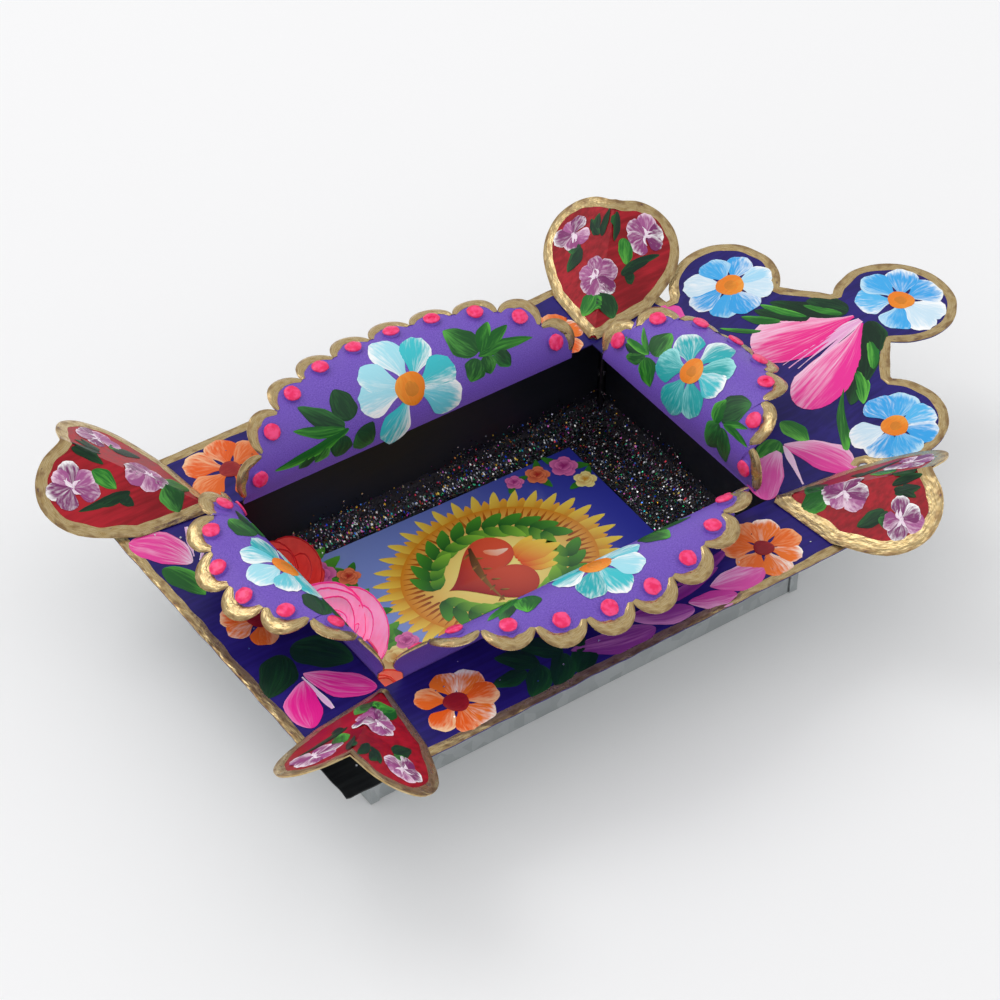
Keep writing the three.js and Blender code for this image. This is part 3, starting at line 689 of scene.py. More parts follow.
# The four flaps: strips with a scalloped edge, soldered under the plate by a flange and curled
# outwards over a rod. They are violet, with a turquoise flower and leaves on each, and each
# scallop has a thick stroke of gold round a dimple that was punched out from behind.
flap_paint = ground_paint("violet_enamel", "6145ac", "8463cc", "UV")
TEAL = [("20a4a6", "a0e4e4"), ("22acb4", "f2fbfa"), ("3cc2cc", "ffffff"), ("6accdc", "ffffff"),
        ("a4e0ee", "ffffff")]
CLEAR = 0.3
FLAP_FLANGE = 4.0
FLAP_FOOT = 0.9
DOT_PITCH = 12.4
SCALLOP_SHARE = 0.503
FLAP_END = 1.5
LONG_SIDE = dict(edge=OPENING_LENGTH, inset=10.75, curl=16)
SHORT_SIDE = dict(edge=OPENING_WIDTH, inset=7.5, curl=14.5)
FLAPS = {
    "left": dict(LONG_SIDE, rise=28.5, shift=-0.3, lean=-2, skew=0.2, gold=3.2),
    "right": dict(LONG_SIDE, rise=34, shift=2.6, lean=-6, skew=0, gold=3.9),
    "top": dict(SHORT_SIDE, rise=33, shift=0.8, lean=-6, skew=-0.6, gold=4.4),
    "bottom": dict(SHORT_SIDE, rise=32, shift=-0.8, lean=-10, skew=0, gold=4.4),
}
SIDES = {
    name: Matrix.Translation((x, y, FRONT)) @ Matrix.Rotation(turn, 4, "Z")
    for name, x, y, turn in (("top", 0, OPENING_LENGTH / 2, 0),
                             ("left", -OPENING_WIDTH / 2, 0, math.pi / 2),
                             ("bottom", 0, -OPENING_LENGTH / 2, math.pi),
                             ("right", OPENING_WIDTH / 2, 0, -math.pi / 2))
}


def flap_surface(name):
    """Gives the place on a flap's painted side: t along the fold, s up the strip."""
    flap, side = FLAPS[name], SIDES[name]

    def surface(t, s, above=0.0):
        lean = math.radians(flap["lean"] + flap["skew"] * t)
        bent = min(max(s, 0.0), flap["rise"])
        turn, out, up = 0.0, 0.0, s
        if s > 0:
            turn = lean + bent / flap["curl"]
            out = flap["curl"] * (math.cos(lean) - math.cos(turn)) + (s - bent) * math.sin(turn)
            up = flap["curl"] * (math.sin(turn) - math.sin(lean)) + (s - bent) * math.cos(turn)
        return side @ Vector((t + flap["shift"], -CLEAR - TIN + out - above * math.cos(turn),
                              up + above * math.sin(turn)))
    return surface


def flap_dots(flap):
    """The places of the dimples, evenly along half an ellipse."""
    half, rise = flap["edge"] / 2 - flap["inset"], flap["rise"]
    angles = [math.radians(12 + 156 * i / 300) for i in range(301)]
    curve = [Vector((half * math.cos(a), rise * math.sin(a))) for a in angles]
    length = sum((b - a).length for a, b in zip(curve, curve[1:]))
    return evenly(curve, length / round(length / DOT_PITCH))


def flap_scallops(flap):
    """The arcs of the scalloped edge, one round each dimple, as lists of places."""
    centres = [dot + dot.normalized() * 0.3 for dot in flap_dots(flap)]
    gaps = [(b - a).length for a, b in zip(centres, centres[1:])]
    radius = SCALLOP_SHARE * max(gaps)
    reach = math.sqrt(radius ** 2 - (centres[0].y - FLAP_END) ** 2)
    stops = [Vector((centres[0].x + reach, FLAP_END))]
    for first, second, gap in zip(centres, centres[1:], gaps):
        way = Vector((second.y - first.y, first.x - second.x)).normalized()
        stops.append((first + second) / 2 + way * math.sqrt(radius ** 2 - gap ** 2 / 4))
    stops.append(Vector((-stops[0].x, FLAP_END)))
    arcs = []
    for centre, here, there in zip(centres, stops, stops[1:]):
        start = math.atan2(here.y - centre.y, here.x - centre.x)
        sweep = (math.atan2(there.y - centre.y, there.x - centre.x) - start) % (2 * math.pi)
        arcs.append([centre + radius * heading(start + sweep * k / 12) for k in range(13)])
    return arcs


pink_dots, tree, shader = new_finish("pink_dot_paint", roughness=0.3)
where = object_place(tree)
thick = cloud(tree, where, 700.0, 2.0)
colour_by(tree, shader,
          mix_colours(tree, remap(tree, thick, 0.35, 0.65), tint("f01a60"), tint("ff4886")))
relief(tree, shader, thick, 0.0003, 0.6)
# The hole through a pierced dimple is not cut in the tin: a near-black patch on the dimple's floor
# stands for it, painted shade.
hole_shade_paint, tree, shader = new_finish("hole_painted_shade", roughness=0.8)
where = object_place(tree)
colour_by(tree, shader, mix_colours(tree, cloud(tree, where, 900.0), tint("060508"), tint("1a1420")))


def dimple(bm, surface, t, s, pierced):
    """A blunt dimple with a blob of pink on it, turned round its own middle."""
    up = (surface(t, s, 1) - surface(t, s, 0)).normalized()
    side = up.orthogonal().normalized()
    outline = [(2.25, -0.1), (2.15, 0.35), (2.0, 0.62), (2.25, 0.7), (2.3, 0.98), (2.1, 1.22),
               (1.2, 1.32)]
    outline += [(0.95, 1.05), (0.85, 0.7), (0, 0.6)] if pierced else [(0, 1.34)]
    middle = surface(t, s, 0)
    chain = [bm.verts.new(middle + side * r + up * h) for r, h in outline]
    edges = [bm.edges.new(pair) for pair in zip(chain, chain[1:])]
    bmesh.ops.spin(bm, geom=chain + edges, cent=middle, axis=up, angle=2 * math.pi, steps=14,
                   use_merge=True)
    made = {face for vert in chain for face in vert.link_faces}
    grown = set(made)
    while grown:
        grown = {f for face in grown for vert in face.verts for f in vert.link_faces} - made
        made |= grown
    wobble = random.random() * 30
    for vert in {vert for face in made for vert in face.verts}:
        height = (vert.co - middle).dot(up)
        if height > 0.65:
            flat = vert.co - middle - up * height
            uneven = 1 + 0.1 * noise.noise(flat * 0.9 + Vector((wobble, 0, 0)))
            vert.co = middle + up * height + flat * uneven
    for face in made:
        spokes = [vert.co - middle for vert in face.verts]
        height = sum(spoke.dot(up) for spoke in spokes) / len(spokes)
        radius = max((spoke - up * spoke.dot(up)).length for spoke in spokes)
        face.material_index = 1 if height > 0.64 else 0
        # the floor of a pierced dimple takes the near-black of painted shade, for the hole
        if pierced and radius < 0.7:
            face.material_index = 2


flap_painting = {
    "left": dict(
        flower=(1.7, 10.8, (100, 54, 6, -38, -125, 178, 146), 16.2, 11.0, 4.5),
        light=((25, 11.5, 31.5, 18.5, 4.5), (26, 11, 36, 15.5, 3.6), (24, 11, 41.5, 9.6, 3.2),
               (-19, 8, -42.5, 5.8, 3.2), (-20, 8.5, -34.5, 13.6, 3.4)),
        deep=((24.5, 12, 18.5, 21.5, 8.5), (23.5, 10.5, 19.5, 5.5, 6.6), (26, 10.5, 26, 5.2, 5.2),
              (29, 10.3, 32.5, 5.0, 4.8), (-20, 9, -30.5, 18.7, 5.2), (-17.5, 10, -19, 19, 7.4),
              (-21, 7, -24, 1.5, 6.8), (-17, 6, -12.5, 0.8, 8.2), (-26, 6.8, -30.5, 2.8, 4.6),
              (-30, 6.2, -35.5, 3.2, 3.6))),
    "right": dict(
        flower=(-0.3, 18.4, (88, 48, 5, -42, -90, -140, 178, 138), 13.6, 9.6, 4.2),
        light=((20, 17, 24, 24.5, 7), (21, 15, 33, 20.5, 4), (21, 13, 36, 11, 3.5),
               (20, 11, 27, 4, 5)),
        deep=((-17, 14, -20.5, 22.5, 8), (-19, 14, -31, 17, 5), (-18, 12, -29, 6.5, 4.5),
              (19, 12, 17.5, 4.5, 6), (24, 15.5, 31, 24, 4.5))),
    "top": dict(
        flower=(-2.8, 14.9, (147, 92, 46, 8, -44, -96, 203), 13.8, 10.4, 3.7),
        light=((-18.5, 10, -29, 8.8, 2.4), (-18.5, 9.8, -26.5, 14, 1.8), (-19, 8.5, -12.8, 3.2, 6.4),
               (14, 9.8, 13.2, 16.5, 5.2), (17, 11.5, 25, 15.5, 1.8), (17, 11.3, 28, 12, 2)),
        deep=((-16.5, 10.5, -18.2, 18.2, 8), (-19, 8.6, -25, 5, 3.6), (-20, 8.8, -27.5, 7.4, 3),
              (14.5, 12, 20.5, 20.5, 8), (15.5, 10.5, 13, 1.8, 7), (17, 10.3, 20.8, 1.6, 6.8))),
    "bottom": dict(
        flower=(-1.2, 15.8, (100, 48, 8, -45, -95, -140, 186, 150), 12.6, 9.0, 3.8),
        light=((14, 12, 22, 8, 4), (-14, 11, -22, 7, 4)),
        deep=((-12.8, 16, -21.5, 19, 8), (12.5, 16, 19.5, 20, 8), (13, 13, 24, 14.5, 5),
              (-13, 12, -25, 12.5, 5))),
}
random.seed(23)
for name, flap in FLAPS.items():
    surface = flap_surface(name)
    scallops = flap_scallops(flap)
    edge = scallops[0][:1] + [point for arc in scallops for point in arc[1:]]
    count, rows, foot = len(edge) - 1, 15, edge[0].x

    def on_strip(u, v):
        rim, base = edge[round(u * count)], foot * (1 - 2 * u)
        row = round(v * rows)
        if row == 0:
            return surface(base, -FLAP_FOOT)
        climb = (row - 1) / (rows - 1)
        return surface(base + (rim.x - base) * climb, rim.y * climb)

    bm = bmesh.new()
    lay_grid(bm, count, rows, on_strip, (foot * 2, flap["rise"] + 5))
    face_towards(bm, surface(0, 1, 1) - surface(0, 1, 0), count * 3)
    low = [edge for edge in bm.edges
           if all(abs(vert.co.z - FRONT + FLAP_FOOT) < 0.01 for vert in edge.verts)]
    flange = verts_of(bmesh.ops.extrude_edge_only(bm, edges=low))
    outwards = SIDES[name].to_3x3() @ Vector((0, FLAP_FLANGE + CLEAR, 0))
    bmesh.ops.translate(bm, verts=flange, vec=outwards)
    place_piece(f"flap_{name}_tin", bm, [flap_paint, galvanised, gold],
                [f"flap_{name}"], thickness=TIN, rim=2, back=0)

    bm = bmesh.new()
    for arc in scallops:
        gold_line(bm, surface, evenly(arc, 0.7), flap["gold"], 0.45, taper=0.35)
    face_towards(bm, surface(0, flap["rise"], 1) - surface(0, flap["rise"], 0))
    place_piece(f"flap_{name}_gold", bm, [gold])

    bm = bmesh.new()
    pierced = {"left": (3,), "top": (2,)}.get(name, ())
    for i, dot in enumerate(flap_dots(flap)):
        dimple(bm, surface, dot.x, dot.y, i in pierced)
    bmesh.ops.recalc_face_normals(bm, faces=bm.faces)
    place_piece(f"flap_{name}_dots", bm, [flap_paint, pink_dots, hole_shade_paint], sharp=60)

    bm = bmesh.new()
    art = flap_painting[name]
    leaves(bm, surface, art["deep"], GREEN, 1)
    leaves(bm, surface, art["light"], LEAF_GREEN, 2)
    x, y, angles, length, width, radius = art["flower"]
    flower(bm, surface, x, y, angles, length, width, TEAL[:3] if name == "top" else TEAL[1:],
           radius=radius)
    t, s = art["deep"][0][:2]
    face_towards(bm, surface(t, s, 1) - surface(t, s, 0))
    place_piece(f"flap_{name}_flowers", bm, [brush_colours])


# The four corner petals: heart-shaped leaves of tin creased down the middle and soldered to
# the plate along the straight edges beside the tip. They are dark red, edged with gold, with
# three lilac flowers on each.
red_paint = ground_paint("dark_red_enamel", "860a17", "b41627")
LILAC = [("974480", "f6e6f0"), ("80306c", "ffffff"), ("a85892", "f2d4e6")]
LILAC_HEART = ("f3e4ee", "b070a8")
PETAL_LENGTH = 43.3
PETAL_TIP = 1.2
TIP_GAP = 0.6
RIDGE_HEIGHT, RIDGE_HALF = 0.4, 1.8
PETAL_OUTLINE = (1, 1.062, 1.074, 1.016, 0.843, 0.497)
PETAL_FOLDS = {"top_right": 26.5, "top_left": 29.5, "bottom_left": 25.5, "bottom_right": 27.5}
PETAL_GOLD = {"top_right": 4.0, "top_left": 3.0, "bottom_left": 3.1, "bottom_right": 2.9}
HALF_ANGLE = math.radians(44.5)


def petal_radius(angle):
    """The heart's outline: its radius from the tip, at an angle from the crease."""
    place = min(abs(angle) / HALF_ANGLE, 1.0) * 5
    k = min(int(place), 4)
    t = place - k
    p = [PETAL_OUTLINE[min(max(k + j, 0), 5)] for j in (-1, 0, 1, 2)]
    slope0, slope1 = (p[2] - p[0]) / 2, (p[3] - p[1]) / 2
    return PETAL_LENGTH * ((2 * t ** 3 - 3 * t ** 2 + 1) * p[1] + (t ** 3 - 2 * t ** 2 + t) * slope0
                           + (3 * t ** 2 - 2 * t ** 3) * p[2] + (t ** 3 - t ** 2) * slope1)


def petal_surface(corner):
    """Gives the place on a petal's painted side: a along the crease, b across it."""
    fold = math.radians(PETAL_FOLDS[corner])
    lift = math.atan(math.tan(HALF_ANGLE) * math.sin(fold))
    crease = Vector((math.cos(lift), 0, math.sin(lift)))
    up = Vector((-math.sin(lift), 0, math.cos(lift)))
    x = 1 if "right" in corner else -1
    y = 1 if "top" in corner else -1
    tip = Matrix.Translation((x * (OPENING_WIDTH / 2 + TIP_GAP), y * (OPENING_LENGTH / 2 + TIP_GAP),
                              FRONT + SEAT))
    turned = tip @ Matrix.Rotation(math.atan2(y, x), 4, "Z")

    def surface(a, b, above=0.0):
        side = 1 if b > 0 else -1
        wing = Vector((0, side * math.cos(fold), 0)) - math.sin(fold) * up
        outward = Vector((0, side * math.sin(fold), 0)) + math.cos(fold) * up
        if abs(b) < 1e-6:
            outward = up / math.cos(fold)
        ridge = RIDGE_HEIGHT * max(0.0, 1 - abs(b) / RIDGE_HALF) if above > 0 else 0.0
        return turned @ (crease * a + wing * abs(b) + outward * (TIN + above + ridge))
    return surface


random.seed(31)
for corner in PETAL_FOLDS:
    surface = petal_surface(corner)

    def on_petal(u, v):
        angle = (2 * u - 1) * HALF_ANGLE
        r = PETAL_TIP + (petal_radius(angle) - PETAL_TIP) * v
        return surface(r * math.cos(angle), r * math.sin(angle))

    bm = bmesh.new()
    lay_grid(bm, 40, 12, on_petal)
    face_towards(bm, (0, 0, 1), 20)
    place_piece(f"petal_{corner}_tin", bm, [red_paint, galvanised, gold],
                [f"petal_{corner}"], sharp=25, thickness=TIN, rim=2)

    bm = bmesh.new()
    turns = [HALF_ANGLE * (k / 30 - 1) for k in range(61)]
    heart = [petal_radius(turn) * heading(turn) for turn in turns]
    start, end = heart[0].normalized() * 1.3, heart[-1].normalized() * 1.3
    line = evenly([start] + heart[:31], 0.9) + evenly(heart[30:] + [end], 0.9)[1:]
    gold_line(bm, surface, line, PETAL_GOLD[corner], 0.12)
    face_towards(bm, (0, 0, 1))
    place_piece(f"petal_{corner}_gold", bm, [gold])

    bm = bmesh.new()
    flip = 1 if corner in ("top_left", "bottom_right") else -1
    leaves(bm, surface, (
        (22, -5, 30, -13, 3), (24, -6, 32, -15.5, 2.2), (22, -6, 23, -9, 5), (30, 9, 22.5, 12, 4.4),
        (32.5, 2.5, 41, 1.2, 2.4), (33, 5, 40, 4.5, 3), (33, 3.5, 38.5, 7, 2.6),
        (40, -0.6, 31, -1.2, 2.4)), DEEP_GREEN, 1, flip)
    for row, colours in (((15, 1.5, 8, 4.5, 6.4), LEAF_GREEN), ((14.5, 0, 8.5, -4.8, 6.2), GREEN),
                         ((33, -4, 25.5, -5.8, 4.6), LEAF_GREEN), ((31.5, 11.5, 28, 11, 4.4), GREEN)):
        leaves(bm, surface, [row], colours, 2, flip)
    for x, y, angles, length in ((19.8, 1.9, (130, 62, 10, -50, -118, 185), 6.6),
                                 (34.3, 12.2, (40, 105, 175, -25, -95), 6.4),
                                 (35.8, -10.2, (60, 5, -50, -105, 165, 115), 7.4)):
        flower(bm, surface, x, y * flip, [angle * flip for angle in angles], length, 6.2, LILAC,
               LILAC_HEART, 0.6, 0.06)
        for k in range(4):
            turn = math.radians(random.uniform(0, 360))
            tip = (x + 2.8 * math.cos(turn), y * flip + 2.8 * math.sin(turn))
            stroke(bm, surface, (x, y * flip), tip, 0.9, ("f0d8ea", "ffffff"), "streak",
                   random.uniform(-0.3, 0.3), 7 + k, across=3, along=8)
    face_towards(bm, (0, 0, 1))
    place_piece(f"petal_{corner}_flowers", bm, [brush_colours])


# The glitter on the back panel: loose flakes cut from metallised film, shaken on wet black
# paint, so that they lie at all angles round the card and creep up the foot of each wall.
glue, tree, shader = new_finish("wet_black_ground", roughness=0.5)
where = object_place(tree)
grit = cloud(tree, where, 1500.0, 3.0)
colour_by(tree, shader, mix_colours(tree, grit, tint("111116"), tint("33333b")))
relief(tree, shader, grit, 0.0004)
flake_film, tree, shader = new_finish("glitter_flakes", roughness=0.22, metallic=0.9)
flake = vertex_colour(tree, "body")["Color"]
where = object_place(tree)
colour_by(tree, shader,
          mix_colours(tree, cloud(tree, where, 2500.0), flake, tint("ffffff"), "MULTIPLY"))

CARD_WIDTH = 59.5
CARD_LENGTH = 93.5
CARD_THICKNESS = 0.25
CARD_LEVEL = 0.3
CARD_FROM_SIDE = 7.2
CARD_FROM_TOP = 16.2
CARD_TURN = math.radians(-1.5)
CARD_PLACE = (Matrix.Translation((CARD_FROM_SIDE - INSIDE_X, INSIDE_Y - CARD_FROM_TOP, TIN + SEAT))
              @ Matrix.Rotation(CARD_TURN, 4, "Z"))
FLAKE = 0.5
GROUND_LEVEL = 0.75
FILM = ["26262e"] * 7 + ["5c5c66"] * 5 + ["9da0a8", "d4d7de", "ffffff"] * 4 + [
    "b02a3c", "e8485a", "2748d8", "4f88f0", "1f9a5a", "4fd09a", "d8a42c", "f0d470", "b83aac",
    "e878d8", "2ab8c8"]


def flake_field(name, width, length, place, keep, film=FILM):
    """A field of square flakes: a grid whose cells are parted, thinned out, turned and tilted."""
    bm = bmesh.new()
    bmesh.ops.create_grid(bm, x_segments=round(width / FLAKE), y_segments=round(length / FLAKE),
                          size=0.5)
    bmesh.ops.scale(bm, vec=(width, length, 1), verts=bm.verts)
    gone = [face for face in bm.faces if random.random() > keep(face.calc_center_median())]
    bmesh.ops.delete(bm, geom=gone, context="FACES")
    bmesh.ops.split_edges(bm, edges=bm.edges)
    layer = colour_layer(bm, "body")
    for face in bm.faces:
        middle = face.calc_center_median()
        tilt = Vector((random.gauss(0, 0.42), random.gauss(0, 0.42), 1)).normalized()
        turn = (tilt.to_track_quat("Z", "Y").to_matrix()
                @ Matrix.Rotation(random.random() * 3, 3, "Z"))
        size = random.uniform(0.5, 0.95)
        colour = tint(random.choice(film))
        jitter = Vector((random.uniform(-0.3, 0.3), random.uniform(-0.3, 0.3),
                         random.uniform(0.12, 0.4)))
        for vert in face.verts:
            vert.co = place(middle + jitter + turn @ (vert.co - middle) * size)
            vert[layer] = colour
    place_piece(name, bm, [flake_film], sharp=180)


def beside_card(middle):
    spot = CARD_PLACE.inverted() @ Vector((middle.x, middle.y, TIN + SEAT))
    return 0.0 if -0.3 < spot.x < CARD_WIDTH + 0.3 and -CARD_LENGTH - 0.3 < spot.y < 0.3 else 0.95


random.seed(5)
bm = bmesh.new()
bmesh.ops.create_grid(bm, x_segments=110, y_segments=174, size=0.5)
bmesh.ops.scale(bm, vec=(2 * INSIDE_X - 0.6, 2 * INSIDE_Y - 0.6, 1), verts=bm.verts)
under_card = [face for face in bm.faces if not beside_card(face.calc_center_median())]
bmesh.ops.delete(bm, geom=under_card, context="FACES")
for vert in bm.verts:
    vert.co.z = GROUND_LEVEL + 0.2 * noise.noise(vert.co * 0.35) + 0.12 * noise.noise(vert.co * 1.7)
place_piece("glitter_ground", bm, [glue], ["glitter_bed"])
flake_field("glitter_flakes", 2 * INSIDE_X - 1, 2 * INSIDE_Y - 1,
            lambda spot: spot + Vector((0, 0, GROUND_LEVEL)), beside_card)

FILLET = 14.0
for name, turn, width, wall in (("left", math.pi / 2, 2 * INSIDE_Y, INSIDE_X + TIN + SEAT),
                                ("top", 0, 2 * INSIDE_X, INSIDE_Y + TIN + SEAT),
                                ("right", -math.pi / 2, 2 * INSIDE_Y, INSIDE_X + TIN + SEAT),
                                ("bottom", math.pi, 2 * INSIDE_X, INSIDE_Y + TIN + SEAT)):
    def up_the_wall(spot):
        rise = spot.y + FILLET / 2
        off = 0.12 + 0.8 / (1 + math.exp((rise - 4.4) * 2.5)) + 2.6 * math.exp(-rise / 1.6)
        off += spot.z
        return Matrix.Rotation(turn, 4, "Z") @ Vector((spot.x, wall - off, 0.8 + rise))

    def thinning(middle):
        rise = (middle.y + FILLET / 2) / FILLET
        drift = 0.28 * noise.noise(Vector((middle.x * 0.05, turn, 0)))
        drift += 0.1 * noise.noise(middle * 0.4)
        return 0.95 * min(1.0, max(0.0, 1.15 - 1.5 * (rise + drift)) ** 1.4)

    bm = bmesh.new()
    bmesh.ops.create_grid(bm, x_segments=round(width), y_segments=10, size=0.5)
    for vert in bm.verts:
        lumpy = 0.15 * noise.noise(Vector((vert.co.x * width * 0.5, vert.co.y * 4, turn)))
        vert.co = up_the_wall(Vector((vert.co.x * (width - 0.4),
                                      (vert.co.y + 0.5) * 6.4 - FILLET / 2, lumpy - 0.1)))
    face_towards(bm, Matrix.Rotation(turn, 4, "Z") @ Vector((0, -1, 0.2)))
    place_piece(f"glitter_fillet_{name}", bm, [glue])
    flake_field(f"glitter_on_wall_{name}", width - 1, FILLET, up_the_wall, thinning)
flake_field("stray_glitter", PLATE_WIDTH - 8, PLATE_LENGTH - 8,
            lambda spot: spot + Vector((0, 0, FRONT)),
            lambda middle: 0.0014 if abs(middle.x) > 40 or abs(middle.y) > 61 else 0.0,
            ["c8ccd4", "f4f6fa", "e0e2e8", "d06a78", "7aa0e8"])


# The picture card: thin glossy printed card, laid on the glitter a little askew. It shows a
# flaming heart in an oval sun with a wreath of leaves, on blue, with small roses round it.
SUN_RAYS = 72
card_stock, tree, shader = new_finish("printed_card", roughness=0.28, coat=0.4)
cloudy = cloud(tree, uv_place(tree), 3.0, 4.0, (1, 2.4, 1))
sky = mix_colours(tree, remap(tree, uv_shares(tree)[1], 0.0, 1.0), tint("8ca4ea"), tint("3238a8"))
sky = mix_colours(tree, remap(tree, cloudy, 0.55, 0.8, 0.0, 0.3), sky, tint("b0bcec"))
colour_by(tree, shader, sky)
print_ink, tree, shader = new_finish("printed_ink", roughness=0.28, coat=0.4)
across, along = uv_shares(tree)
body, load = vertex_colour(tree, "body"), vertex_colour(tree, "load")
share = remap(tree, weighted_sum(tree, (along, 1), (across, 0.25)), 0.1, 1.05)
colour_by(tree, shader, mix_colours(tree, share, body["Color"], load["Color"]))


def card_surface(x, y, above=0.0):
    """Card places count from the middle of the card; its corners lift a little."""
    curl = 0.5 * max(0.0, abs(x) / 30 + abs(y) / 47 - 1.35)
    return CARD_PLACE @ Vector((x + CARD_WIDTH / 2, y - CARD_LENGTH / 2, CARD_LEVEL + curl + above))


def printed_shape(bm, middle, outline, shade, level):
    """A printed shape spun round a middle; shade(spot, share out) gives two codes and a mix."""
    shades = []

    def place(u, v):
        spot = outline(2 * math.pi * u) * v
        first, second, share = shade(spot, v)
        shades.append(Vector(tint(first)).lerp(Vector(tint(second)), min(max(share, 0.0), 1.0)))
        return card_surface(middle.x + spot.x, middle.y + spot.y, PAINT_GAP + LAYER * level)

    verts = lay_grid(bm, 72, 9, place)
    for name in ("body", "load"):
        layer = colour_layer(bm, name)
        for vert, colour in zip(verts, shades):
            vert[layer] = colour


def ink(start, end, width, colours, shape="leaf", across=4, along=6, **how):
    """A printed stroke, flat on the card."""
    stroke(bm, card_surface, start, end, width, colours, shape, across=across, along=along, rise=0,
           **how)


def oval(t):
    return Vector((22.5 * math.cos(t), 28 * math.sin(t)))


def heart_shape(t):
    tall = (10.6 * math.cos(t) - 4.1 * math.cos(2 * t) - 1.6 * math.cos(3 * t)
            - 0.8 * math.cos(4 * t))
    return Vector((12.4 * math.sin(t) ** 3, tall))


random.seed(3)
bm = bmesh.new()
lay_grid(bm, 24, 38, lambda u, v: card_surface((u - 0.5) * CARD_WIDTH, (v - 0.5) * CARD_LENGTH))
face_towards(bm, (0, 0, 1))
place_piece("picture_card", bm, [card_stock], ["print_card"],
            thickness=CARD_THICKNESS, back=0)
bm = bmesh.new()
sun = Vector((0, 4))
for k in range(SUN_RAYS):
    far = oval(2 * math.pi * k / SUN_RAYS)
    ink(sun + far * 0.86, sun + far * (1.28 if k % 2 else 1.15), 3.0,
        ("d8860f", "ffe25a") if k % 2 else ("b25a10", "f6b436"), across=3, level=1 + 0.5 * (k % 2))
printed_shape(bm, sun, oval, lambda spot, share: ("fff08a", "e08a14", share ** 2), 3)
for k in range(SUN_RAYS):
    far = oval(2 * math.pi * (k + 0.5) / SUN_RAYS)
    ink(sun + far * (0.74 if k % 2 else 0.8), sun + far * 0.97, 0.9, ("8a3c0c", "c8680e"), "streak",
        across=2, along=4, level=4)
for side in (-1, 1):
    for k in range(12):
        angle = math.radians(-90 + side * (8 + k * 13.6))
        spot = sun + oval(angle) * 0.68
        for order, way in enumerate((-0.6, 0.55)):
            grow = angle + side * (math.pi / 2 + way)
            ink(spot, spot + 8.2 * heading(grow), 3.8,
                ("1c6a22", "8cc83c") if order else ("14501e", "4c9c2c"),
                level=5 + 0.5 * (k % 3) + 0.25 * order)
flames = ((-4.6, 7, 4), (5, 7, 4), (-2, 9.5, 4.4), (2.6, 9.5, 4.4), (0.3, 12, 4.8))
for k, (x, height, width) in enumerate(flames):
    ink((x * 0.5, 9.5), (x * 1.3, 11 + height), width, ("ee4a0c", "ffdc50"), across=6, along=8,
        bend=0.03 * (k % 3 - 1), level=7 + 0.5 * k, side=0.5)
printed_shape(bm, Vector((0, 1.5)), heart_shape, lambda spot, share: (
    "f6603a", "a00c14", 0.45 + spot.x * 0.022 - spot.y * 0.03 + 0.25 * share ** 3), 10)
ink((-7.8, 3.5), (-5.2, 10), 2.4, ("f88a5a", "ffd8c0"), bend=-0.15, level=11)
ink((-10.8, 1.2), (10.4, -1.8), 2.0, ("4a2a10", "9c6a2c"), "streak", 10, 14, bend=-0.07, level=12)
for k in range(9):
    x, y = -9 + k * 2.25, 0.0 - 0.1 * k
    ink((x, y), (x + 1.2, y + (2.4 if k % 2 else -2.6)), 0.8, ("5c3614", "b07c34"), across=2,
        along=3, level=13)
for k in range(12):
    x = -27 + k * 4.9
    for order, way in enumerate((-1, 1)):
        ink((x, -43), (x + way * 5, -31 + 2 * math.sin(k * 2.1)), 4.6, ("0e4a1c", "5cae34"),
            level=6 + 0.5 * (k % 3) + 0.25 * order)
rosebuds = [(-24, -38, 5.2, 0), (-14, -41, 4.4, 1), (-5, -37, 5.4, 2), (5, -41, 4.4, 0),
            (14, -37, 5.4, 1), (24, -40, 5.0, 2), (-19, -31.5, 3.4, 2), (9.5, -31.5, 3.4, 0),
            (20, -30.5, 3.0, 1), (-24, 41, 4.2, 0), (-16.5, 43, 3.4, 1), (-25, 33, 3.6, 2),
            (-26, 26, 2.8, 0), (25, 41, 4.2, 0), (17.5, 43, 3.4, 2), (26, 33, 3.4, 1)]
for x, y, size, kind in rosebuds:
    hue = (("a41a78", "f07cc0"), ("d8941c", "fff0a0"), ("b81a1c", "f88a5c"))[kind]
    spot = Vector((x, y))
    for k in range(2):
        ink(spot, spot + heading(k * 2.5 + x) * size * 1.7, size * 0.7, ("0e4a1c", "3c8c2c"), along=5,
            level=8 + 0.5 * k)
    for k in range(11):
        way = heading(k * 1.26) * (1 if k < 5 else 0.66 if k < 9 else 0.35)
        ink(spot - way * 0.4, spot + way * size, size * (0.95 if k < 5 else 0.7), hue, "petal",
            along=5, level=10 + 0.5 * k)
face_towards(bm, (0, 0, 1))
place_piece("picture_card_print", bm, [print_ink])


